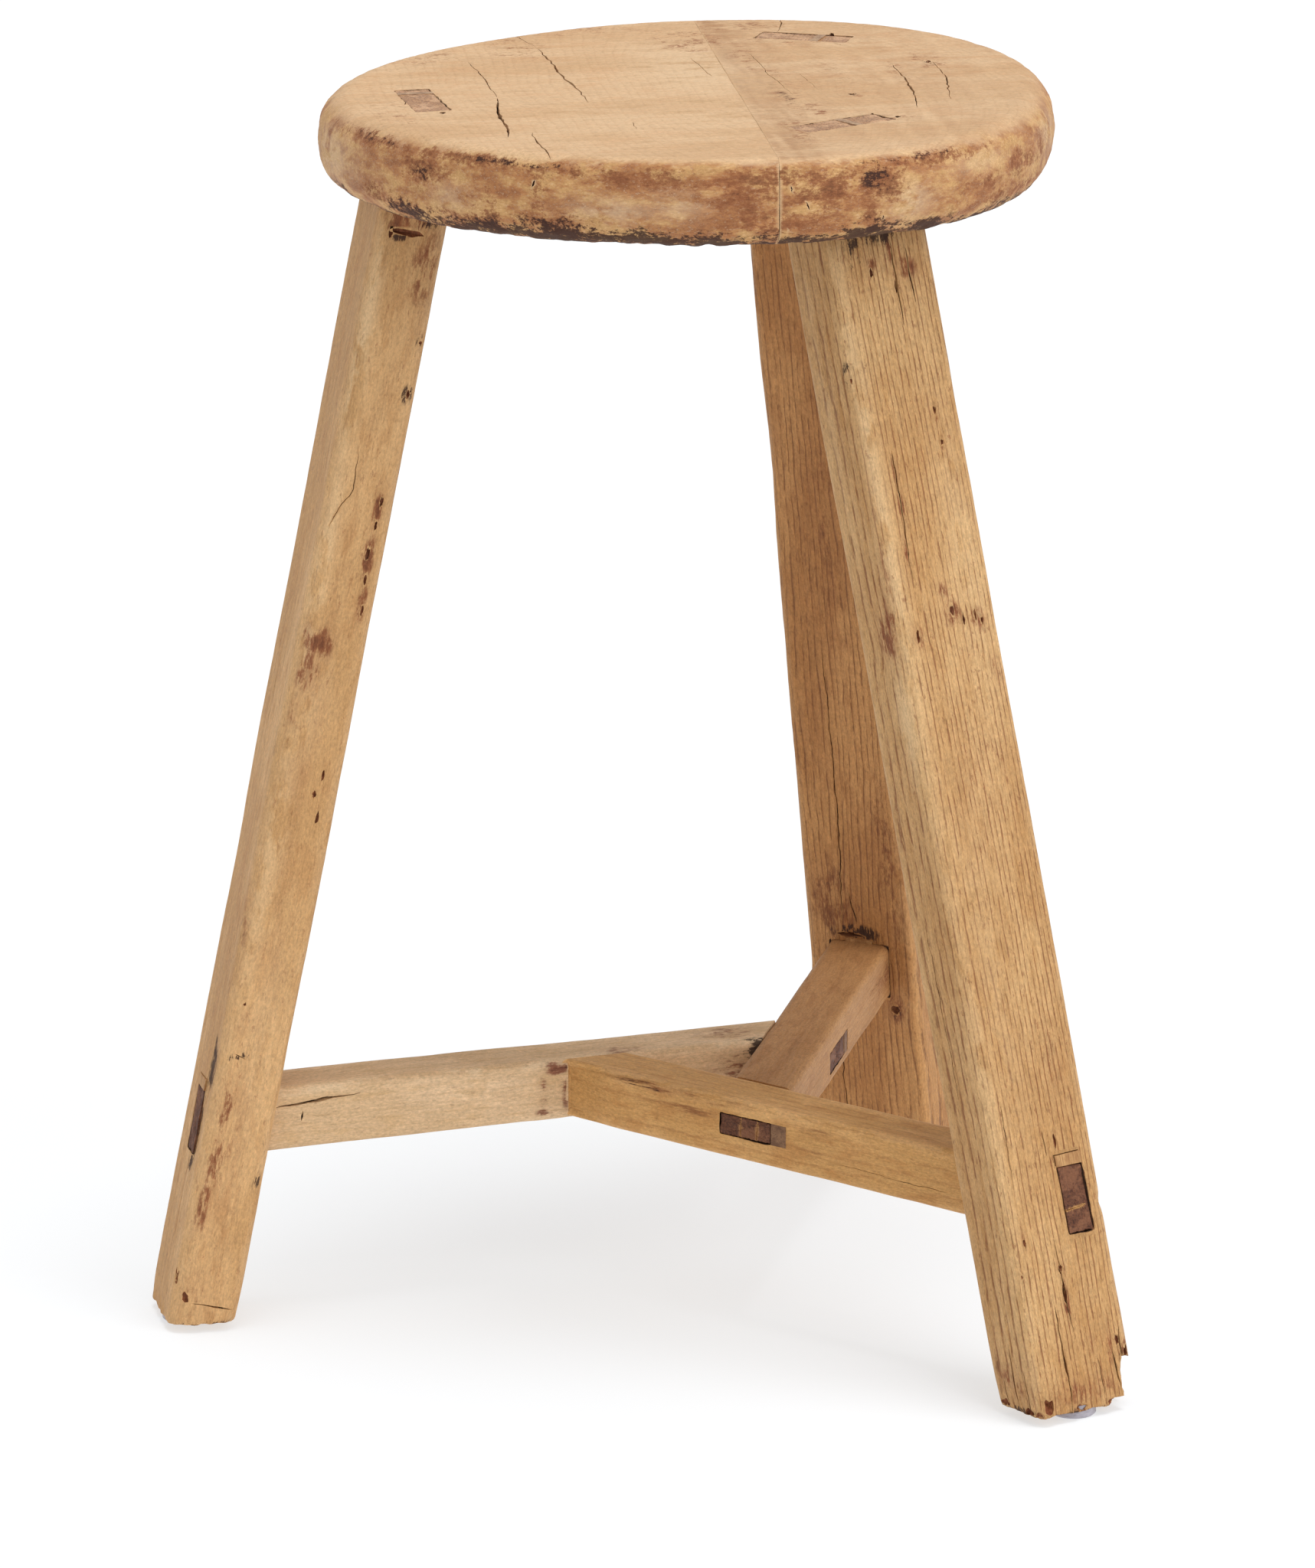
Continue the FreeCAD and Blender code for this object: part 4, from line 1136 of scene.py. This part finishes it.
def leg_cuts(name):
    """A leg's broken corners, splits and pits."""
    cuts = [cutter(*chip(bodies[name], *spec, 60 + i), 0.15, 0.45) for i, spec in enumerate(CHIPS[name])]
    for i, (face, path, width, depth) in enumerate(LEG_CRACKS[name]):
        places = [on_leg(name, face, *p) for p in path]
        cuts.append(cutter(*crack([p for p, _ in places], places[0][1], width, depth, 7 * i + len(name))))
    pits = []
    for i, (face, place, size) in enumerate(LEG_PITS[name]):
        where, normal = on_leg(name, face, *place)
        pits.append(pit(where, normal, bodies[name].axis, size, 3 * i + 1))
    return cuts + pit_cutters(pits, 0.08, 1.1)


def fit_leg(name, seed):
    """A leg with room for its stretcher, wedges, nail and glide, and its damage."""
    piece = leg_piece(name, seed)
    inner, outer, _, _ = stretcher_ends(name)
    cuts = joint_cutters(name, True)
    cuts.append(wedge_cutter("leg_wedge_" + name, outer))
    cuts.append(wedge_cutter("seat_wedge_" + name, (UP, SEAT_TOP)))
    cuts += [swollen_node("glide_nail_" + name, 0.05), swollen_node("glide_" + name, 0.3)]
    return combine(piece, cuts + leg_cuts(name))


# Splits on the stretchers: x side, path of (height from the centre line, distance from the leg end), width
# and depth.
STRETCHER_CRACKS = {
    "left": [
        (-1, [(5.6, 34), (6.3, 47), (7.6, 60), (8.4, 72)], 1.5, 7), (-1, [(3, 46.5), (-1.5, 45.5)], 0.9, 2),
        (1, [(2, 90), (3, 150)], 0.7, 3),
    ],
    "front": [(1, [(-5, 60), (-4, 120)], 0.35, 1.2), (-1, [(0, 60), (2, 130)], 0.7, 3)],
    "back": [(1, [(2, 40), (3, 90)], 0.4, 1.5), (-1, [(-2, 60), (0, 120)], 0.6, 3)],
}


def tenon_splits(name):
    """Pale splits across the tenon ends that show them: the front stretcher's, in its leg, and the back
    stretcher's, in the front one."""
    if name == "front":
        places = [on_leg(name, "+y", x, z)[0] for x, z in ((1.0, 83.4), (16.0, 85.0))]
        return [cutter(*crack(places, bodies[name].y, 0.9, 2.2, 3, jitter=0.3), 0.0)]
    if name == "left":
        return []
    bar = stretchers[name]
    _, _, near, far = stretcher_ends(name)
    x0, x1, y0, y1 = tenon_section(name, False)
    outwards = far[0] * np.sign(far[1] - near[1])
    up = np.array([y0 - 0.5, (y0 + y1) / 2, y1 + 0.5])
    cuts = []
    for seed, share in enumerate((0.4, 0.72)):
        across = np.array([-0.35, 0.1, 0.35]) + x0 + (x1 - x0) * share
        places = list(bar.place(across, up, bar.station(across, up, far)))
        cuts.append(cutter(*crack(places, outwards, 0.6, 1.6, seed, jitter=0.3), 0.0))
    return cuts


def fit_stretcher(name, seed):
    """A stretcher with room for the one that runs into it and for that one's wedge, and its splits."""
    bar = stretchers[name]
    piece = stretcher_piece(name, seed)
    guest = next(other for other, host in HOSTS.items() if host == name)
    cuts = joint_cutters(guest, False)
    _, _, near, far = stretcher_ends(guest)
    away = np.sign(far[1] - near[1])
    shape = short_wedge(guest) if STRETCHER_FORM[guest]["taper"] else None
    cuts.append(wedge_cutter("cross_wedge_" + guest, (far[0] * away, far[1] * away), shape))
    for i, (side, path, width, depth) in enumerate(STRETCHER_CRACKS[name]):
        places = [bar.place(*np.array([side * bar.half_x, y, s])) for y, s in path]
        cuts.append(cutter(*crack(places, bar.x * side, width, depth, 5 * i + 2)))
    return combine(piece, cuts + tenon_splits(name))


def fit_seat():
    """The two boards of the seat, each with room for the legs and the pins."""
    grid, values = seat_blank()
    made = {}
    for name, sign in (("left", -1), ("right", 1)):
        piece, beyond = seat_half(name, sign, grid, values)
        cuts = [beyond] + seat_cuts() + [swollen_node("seat_pins", 0.05)]
        for leg in LEGS:
            housing, mortise = (bodies[leg], SEAT_LOW + 0.7, 0.0, 0.5), (tenons[leg], SEAT_TOP + 5, 0.45, 0.8)
            for bar, top, ragged, dirt in (housing, mortise):
                limits = -bar.half_x, bar.half_x, -bar.half_y, bar.half_y
                cuts.append(box_cutter(bar, (UP, SEAT_LOW - 10), (UP, top), *limits, 0.1, ragged, dirt))
        made[name] = combine(piece, cuts)
    return made


def finish_mesh(piece, node):
    """Smooths all but the sharper edges, and puts the piece in its node's place."""
    piece.data.shade_smooth()
    piece.data.set_sharp_from_angle(angle=math.radians(42))
    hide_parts(node)
    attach(piece, "root")


timbers = {}
for count, leg in enumerate(LEGS):
    timbers["leg_" + leg] = (fit_leg(leg, 100 + 10 * count), "leg_wood")
    timbers["stretcher_" + leg] = (fit_stretcher(leg, 200 + 10 * count), "stretcher_wood")
wedge_points, wedge_faces = short_wedge("front")
cut_wedge = add_object("cross_wedge_front_short", wedge_points, wedge_faces.tolist())
timbers["cross_wedge_front"] = (cut_wedge, "wedge_wood")
for side, board in fit_seat().items():
    timbers["seat_board_" + side] = (board, "seat_wood")
for node, (piece, slot) in timbers.items():
    finish_mesh(piece, node)


# ---------------------------------------------------------------- materials
def hexed(code):
    """An sRGB colour like "c9a06b" as linear RGBA."""
    parts = [int(code[i : i + 2], 16) / 255 for i in (0, 2, 4)]
    return tuple(c / 12.92 if c <= 0.04045 else ((c + 0.055) / 1.055) ** 2.4 for c in parts) + (1.0,)


def hexes(codes):
    return [hexed(code) for code in codes.split()]


class Nodes:
    """Short ways to build a material's node tree."""

    def __init__(self, name):
        self.material = bpy.data.materials.new(name)
        self.material.use_nodes = True
        self.tree = self.material.node_tree
        self.shader = self.tree.nodes["Principled BSDF"]

    def add(self, kind, inputs=None, **settings):
        node = self.tree.nodes.new("ShaderNode" + kind)
        for key, value in settings.items():
            setattr(node, key, value)
        for key, value in (inputs or {}).items():
            self.set(node.inputs[key], value)
        return node

    def set(self, socket, value):
        if isinstance(value, bpy.types.NodeSocket):
            self.tree.links.new(value, socket)
        elif isinstance(value, bpy.types.Node):
            self.tree.links.new(value.outputs[0], socket)
        else:
            socket.default_value = value

    def math(self, operation, a, b=0.0, c=0.0, clamp=False):
        return self.add("Math", {0: a, 1: b, 2: c}, operation=operation, use_clamp=clamp).outputs[0]

    def times(self, *factors):
        """The product of several factors."""
        total = factors[0]
        for factor in factors[1:]:
            total = self.math("MULTIPLY", total, factor)
        return total

    def added(self, base, *parts):
        """The base plus each part times its strength."""
        for part, strength in parts:
            base = self.math("MULTIPLY_ADD", part, strength, base)
        return base

    def layer(self, name):
        return self.add("Attribute", attribute_name=name).outputs["Fac"]

    def step(self, value, low, high):
        """A soft step from 0 at low to 1 at high."""
        inputs = {"Value": value, "From Min": low, "From Max": high}
        return self.add("MapRange", inputs, interpolation_type="SMOOTHSTEP").outputs["Result"]

    def noise(self, vector, scale, detail=2.0, rough=0.55):
        inputs = {"Vector": vector, "Scale": scale, "Detail": detail, "Roughness": rough, "Distortion": 0.0}
        return self.add("TexNoise", inputs).outputs["Fac"]

    def swing(self, place, extent, detail=2.0, rough=0.55):
        """Noise evened out to spread over about -1 to 1; extent is the size of its broadest bumps by axis."""
        power = [rough**k for k in range(int(detail) + 1)]
        gain = 4.0 * sum(power) / math.sqrt(sum(p * p for p in power))
        vector = self.stretch(place, *[1 / size for size in extent])
        return self.math("MULTIPLY_ADD", self.noise(vector, 1.0, detail, rough), gain, -gain / 2)

    def stained(self, layer, torn, starts, full, faint=(0.02, 0.25)):
        """How stained a place is: the painted layer, torn by noise, from a first to a full level. Between its
        faint levels a layer only counts in part."""
        layer = self.layer(layer)
        level = self.added(self.times(torn, 0.55), (layer, 1.5))
        return self.times(self.step(level, starts, full), self.step(layer, *faint))

    def stretch(self, vector, x, y, z):
        return self.add("VectorMath", {0: vector, 1: (x, y, z)}, operation="MULTIPLY").outputs[0]

    def blend(self, share, a, b):
        node = self.add("Mix", data_type="RGBA", blend_type="MIX")
        self.set(node.inputs["Factor"], share)
        self.set(node.inputs[6], a)
        self.set(node.inputs[7], b)
        return node.outputs[2]

    def coat(self, under, tint, *masks):
        """A colour laid over another, as strongly as the masks' product."""
        return self.blend(self.times(*masks), under, tint)

    def put(self, name, value):
        """Sets one of the shader's own inputs."""
        self.set(self.shader.inputs[name], value)

    def bump(self, strength, distance, height):
        """Fine relief; its full depth is in mm."""
        inputs = {"Strength": strength, "Distance": distance * MM, "Height": height}
        self.put("Normal", self.add("Bump", inputs))

    def along(self, bar_axes):
        """Object coordinates in mm, turned so that z runs along the grain."""
        place = self.add("TexCoord").outputs["Object"]
        parts = []
        for axis in bar_axes:
            scaled = tuple(float(c) / MM for c in axis)
            dot = self.add("VectorMath", {0: place, 1: scaled}, operation="DOT_PRODUCT")
            parts.append(dot.outputs["Value"])
        return self.add("CombineXYZ", {0: parts[0], 1: parts[1], 2: parts[2]}).outputs[0]


DARK_ENDS = "6b402a 48281a 885a3e"
SEAT_ENDS = "bd9370 967158 d0a884"


def wood(name, axes, colours, rings=0.5, fuzz=0.5, mottle=0.5, flecks=0.3, micro=0.13, streak=4.0, wash=0.4,
         bump=0.4, seed=0.0, tone=None, rim=None, ends=DARK_ENDS):
    """Old waxed timber. Its colours are sRGB codes for light, middling and dark wood, ring lines, rust, grime
    and pale wear; the rust and grime colours also serve as painted shade in a few places, and the pale one as
    a painted highlight along the seat's front top edge. rings, fuzz, mottle, flecks, micro and wash, the soft
    edge round a stain, are strengths; streak is how many times longer a stain's ragged outline runs along the
    grain than across it."""
    light, mid, dark, line, rust, grime, pale = hexes(colours)
    n = Nodes(name)
    place = n.along(axes)
    place = n.add("VectorMath", {0: place, 1: (seed, seed * 1.7, seed * 0.6)}, operation="ADD").outputs[0]
    broad = n.swing(place, (34, 34, 110), 3.0)
    cloud = n.swing(place, (8, 8, 20), 4.0, 0.65)
    fibre = n.swing(place, (1.1, 1.1, 16), 4.0, 0.7)
    hair = n.swing(place, (0.5, 0.5, 4), 2.0, 0.7)
    grit = n.swing(place, (0.9, 0.9, 1.7), 4.0, 0.75)
    colour = n.blend(n.step(broad, -0.6, 0.6), mid, light)
    colour = n.coat(colour, dark, n.step(cloud, 0.0, 0.9), mottle)
    colour = n.coat(colour, dark, n.step(fibre, -0.1, 0.9), fuzz * 0.5)
    # each ring: slowly darkening wood, then a thin dark line that breaks up along its length
    ring = n.added(n.layer("ring"), (n.swing(place, (2.4, 2.4, 10), 3.0), 0.07))
    off = n.math("ABSOLUTE", n.math("SUBTRACT", ring, n.math("ROUND", ring)))
    broken = n.step(n.swing(place, (2.5, 2.5, 14), 4.0, 0.75), -0.75, 0.35)
    lines = n.times(n.step(off, 0.17, 0.03), broken, rings)
    colour = n.coat(colour, dark, n.math("POWER", n.math("FRACT", ring), 2.5), rings * 0.4)
    colour = n.blend(lines, colour, line)
    if tone:
        shift = n.math("MULTIPLY", n.layer("tone"), n.step(cloud, -1.2, 0.6), clamp=True)
        colour = n.coat(colour, hexed(tone[0]), shift, tone[1])
    if rim:
        first, second, third = hexes(rim)
        smear = n.swing(place, (12, 8, 20), 6.0, 0.7)
        shade = n.blend(n.step(smear, -0.9, 0.7), first, second)
        shade = n.coat(shade, third, n.step(n.math("ADD", grit, smear), 0.1, 1.5), 0.75)
        shade = n.coat(shade, pale, n.step(grit, 0.35, 1.1), 0.3)
        colour = n.blend(n.layer("rim"), colour, shade)
    # worn, polished arrises on the legs and stretchers; on the seat, a painted highlight along the front of
    # its top edge
    edge = n.times(n.layer("edge"), n.step(cloud, -0.5, 0.5), 0.5)
    bright = n.times(n.layer("pale"), n.step(cloud, -1.1, 0.3))
    bright = n.math("MAXIMUM", edge, bright, clamp=True)
    colour = n.coat(colour, pale, bright, 0.8)
    # stray flecks, then the placed stains and grime with ragged, streaky outlines; a few of these marks are
    # painted shade, under the seat on the front and back legs and in the notch between the stretchers
    fleck = n.step(n.swing(place, (1.7, 1.7, 5), 3.0, 0.7), 0.95, 1.25)
    colour = n.coat(colour, rust, fleck, flecks)
    drift = n.swing(place, (7, 7, max(11, 2.75 * streak)), 4.0, 0.6)
    torn = n.added(n.swing(place, (1.6, 1.6, 1.6 * streak), 5.0, 0.8), (drift, 0.9))
    stain = n.stained("rust", torn, 0.35, 1.25, (0.14, 0.5) if wash else (0.02, 0.25))
    colour = n.coat(colour, rust, n.layer("rust"), n.step(cloud, -1.6, 0.5), wash)
    colour = n.coat(colour, rust, stain, 0.85)
    colour = n.coat(colour, n.blend(0.35, grime, rust), n.stained("rust", torn, 1.1, 2.1), 0.6)
    grime_and_shade = n.stained("dirt", torn, 0.45, 0.95)
    colour = n.coat(colour, grime, grime_and_shade, 0.92)
    # chopped ends, with fine pores
    first, second, third = hexes(ends)
    pore = n.swing(place, (0.9, 0.9, 0.9), 4.0, 0.75)
    end = n.blend(n.step(pore, -0.5, 0.7), first, second)
    end = n.coat(end, third, n.step(cloud, 0.1, 0.8), 0.6)
    end = n.coat(end, third, lines, 0.6)
    colour = n.coat(colour, end, n.layer("end"), n.math("SUBTRACT", 1.0, grime_and_shade, clamp=True))
    value = n.added(1.0, (grit, micro), (hair, 0.14 * fuzz), (cloud, 0.05))
    n.put("Base Color", n.add("HueSaturation", {"Value": value, "Color": colour}))
    n.put("Roughness", n.added(0.62, (fibre, 0.05), (n.math("MAXIMUM", stain, grime_and_shade), 0.15), (bright, -0.12)))
    n.put("Specular IOR Level", 0.3)
    worn = n.math("MAXIMUM", grime_and_shade, fleck)
    relief = n.added(n.times(grit, -0.2), (fibre, -0.16), (lines, -0.5), (worn, -0.5), (stain, -0.15))
    n.bump(bump, 0.6, relief)
    return n.material


def bar_axes(bar):
    return bar.x, bar.y, bar.axis


def paint(piece, material):
    piece.data.materials.clear()
    piece.data.materials.append(material)


def paint_node(node, material):
    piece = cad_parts[node]
    for slot in piece.material_slots:
        slot.material = material
    if not piece.material_slots:
        piece.data.materials.append(material)


LEG_LOOKS = {
    "left": dict(
        colours="d8ab76 c99b66 aa7947 9e6a3f 84482a 3a2119 e5c293",
        rings=0.22, fuzz=0.45, mottle=0.4, flecks=0.35, seed=3.0),
    "front": dict(
        colours="d6ab76 c79964 a67742 804c2a 834528 36211a e4c191",
        rings=0.8, fuzz=0.6, mottle=0.35, flecks=0.45, seed=31.0, bump=0.5),
    "back": dict(
        colours="c7925a b47e49 966336 764927 7c4a2c 34201a d5a76f",
        rings=0.75, fuzz=0.6, mottle=0.4, flecks=0.35, seed=57.0, bump=0.5),
}
STRETCHER_LOOKS = {
    "left": dict(
        colours="e7c59d d8b58b bb9564 a98053 7d4430 2c1a14 f1dcba",
        rings=0.15, fuzz=0.4, mottle=0.35, flecks=0.25, seed=11.0),
    "front": dict(
        colours="dfae71 ce9c5e ae783f 996233 8a5530 2e1c15 f2c68f",
        rings=0.3, fuzz=0.45, mottle=0.45, flecks=0.25, streak=14.0, seed=23.0),
    "back": dict(
        colours="b98857 ac7b4b 936338 82512b 83502f 2e1c15 c69762",
        rings=0.22, fuzz=0.45, mottle=0.45, flecks=0.3, seed=41.0),
}
SEAT_LOOK = dict(
    colours="d9b58c d0a97e bb8c61 b1845b 8f5736 3b221a e2c6a0", rim="cb9d66 b3794b 86502f",
    tone=("ad8159", 0.95), rings=0.2, fuzz=0.42, mottle=0.35, flecks=0.1, micro=0.09, streak=1.6, wash=0.0)
SIDEWAYS = ((0, 1, 0), (0, 0, 1), (1, 0, 0))
for leg in LEGS:
    leg_wood = wood("leg_wood_" + leg, bar_axes(bodies[leg]), ends=SEAT_ENDS, **LEG_LOOKS[leg])
    paint(timbers["leg_" + leg][0], leg_wood)
    stretcher_wood = wood("stretcher_wood_" + leg, bar_axes(stretchers[leg]), **STRETCHER_LOOKS[leg])
    paint(timbers["stretcher_" + leg][0], stretcher_wood)
for side, seed in (("left", 5.0), ("right", 45.0)):
    # the fine fibres of the seat show across its boards, so its streaks run sideways
    seat_wood = wood("seat_wood_" + side, SIDEWAYS, seed=seed, **SEAT_LOOK)
    paint(timbers["seat_board_" + side][0], seat_wood)


def plain_wood(name, axes, colours):
    """Small riven parts: wedges and pins. Its colours are codes for light wood, dark wood and streaks."""
    light, dark, streak = hexes(colours)
    n = Nodes(name)
    place = n.along(axes)
    fibre = n.noise(n.stretch(place, 1 / 0.7, 1 / 0.7, 1 / 9), 1.0, 4.0, 0.65)
    cloud = n.noise(n.stretch(place, 1 / 4, 1 / 4, 1 / 6), 1.0, 4.0, 0.6)
    colour = n.blend(n.step(cloud, 0.35, 0.68), light, dark)
    n.put("Base Color", n.coat(colour, streak, n.step(fibre, 0.45, 0.7), 0.6))
    n.put("Roughness", n.added(0.55, (fibre, 0.2)))
    n.put("Specular IOR Level", 0.3)
    n.bump(0.5, 0.5, fibre)
    return n.material


def moulded_plastic():
    n = Nodes("glide_plastic")
    place = n.along(np.eye(3))
    grain = n.noise(place, 1.4, 3.0, 0.6)
    scuff = n.noise(n.stretch(place, 1 / 3, 1 / 3, 1 / 0.4), 1.0, 4.0, 0.7)
    n.put("Base Color", n.blend(n.step(scuff, 0.4, 0.7), hexed("b3aeb6"), hexed("96909b")))
    n.put("Roughness", n.added(0.3, (scuff, 0.25)))
    n.bump(0.2, 0.1, grain)
    return n.material


def nail_steel():
    n = Nodes("nail_steel")
    place = n.along(np.eye(3))
    rust = n.step(n.noise(place, 0.8, 5.0, 0.65), 0.5, 0.68)
    drawn = n.noise(n.stretch(place, 6, 6, 0.4), 1.0, 2.0)
    n.put("Base Color", n.blend(rust, hexed("8d8b88"), hexed("5d3a24")))
    n.put("Metallic", n.math("SUBTRACT", 1.0, rust, clamp=True))
    n.put("Roughness", n.added(0.35, (rust, 0.4)))
    n.bump(0.3, 0.1, drawn)
    return n.material


plastic, steel = moulded_plastic(), nail_steel()
for leg in LEGS:
    paint_node("glide_" + leg, plastic)
    paint_node("glide_nail_" + leg, steel)
    leg_wedge = plain_wood("leg_wedge_wood_" + leg, bar_axes(bodies[leg]), "c79a66 a4764a 7b5030")
    paint_node("leg_wedge_" + leg, leg_wedge)
    seat_wedge = plain_wood("seat_wedge_wood_" + leg, bar_axes(tenons[leg]), "c0a080 9a7a60 7a5c48")
    paint_node("seat_wedge_" + leg, seat_wedge)
    cross_wedge = plain_wood("cross_wedge_wood_" + leg, bar_axes(stretchers[leg]), "8f6a4c 6c4a34 4b3225")
    if "cross_wedge_" + leg in timbers:
        paint(timbers["cross_wedge_" + leg][0], cross_wedge)
    else:
        paint_node("cross_wedge_" + leg, cross_wedge)
paint_node("seat_pins", plain_wood("pin_wood", SIDEWAYS, "c9a070 a87a4c 86592f"))


# ---------------------------------------------------------------- stage
def stage_floor():
    mesh = bpy.data.meshes.new("floor")
    half = 9.0
    corners = [(x * half, y * half, 0) for x, y in ((-1, -1), (1, -1), (1, 1), (-1, 1))]
    mesh.from_pydata(corners, [], [(0, 1, 2, 3)])
    floor = bpy.data.objects.new("floor", mesh)
    bpy.context.scene.collection.objects.link(floor)
    # partly lit from within, so that its shadows stay pale
    n = Nodes("floor_paper")
    n.put("Base Color", (0.37, 0.385, 0.40, 1))
    n.put("Roughness", 0.9)
    n.put("Specular IOR Level", 0.1)
    n.put("Emission Color", (1, 1, 1, 1))
    n.put("Emission Strength", 0.59)
    mesh.materials.append(n.material)


def direction(heading, elevation):
    """The unit vector at a heading from +X and an elevation, both in degrees."""
    heading, elevation = math.radians(heading), math.radians(elevation)
    flat = math.cos(elevation)
    return Vector((flat * math.cos(heading), flat * math.sin(heading), math.sin(elevation)))


def soft_light(name, heading, elevation, spread, strength):
    """Even light from one direction; heading is in degrees from +X, spread is how wide its source looks."""
    data = bpy.data.lights.new(name, "SUN")
    data.angle, data.energy = math.radians(spread), strength
    light = bpy.data.objects.new(name, data)
    light.rotation_euler = direction(heading, elevation).to_track_quat("Z", "Y").to_euler()
    bpy.context.scene.collection.objects.link(light)


stage_floor()
world = bpy.data.worlds.new("studio")
bpy.context.scene.world = world
world.use_nodes = True
world.node_tree.nodes["Background"].inputs["Color"].default_value = (1.0, 1.0, 1.0, 1.0)
world.node_tree.nodes["Background"].inputs["Strength"].default_value = 0.60
soft_light("overhead", -60.0, 82.0, 24.0, 1.35)
soft_light("front_right", -48.0, 34.0, 50.0, 0.95)

CAMERA_HEADING, CAMERA_ELEVATION, CAMERA_DISTANCE = -100.245, 15.038, 4.1226
AIM_OFFSET = Vector((0.02435, 0.0014, -0.0385))
low, high = cad_bounds
back = direction(CAMERA_HEADING, CAMERA_ELEVATION)
camera_data = bpy.data.cameras.new("camera")
camera_data.lens, camera_data.sensor_width = 225.6, 36.0
camera = bpy.data.objects.new("camera", camera_data)
camera.location = (low + high) / 2 + AIM_OFFSET + back * CAMERA_DISTANCE
camera.rotation_euler = back.to_track_quat("Z", "Y").to_euler()
bpy.context.scene.collection.objects.link(camera)
bpy.context.scene.camera = camera
bpy.context.scene.view_settings.view_transform = "Standard"
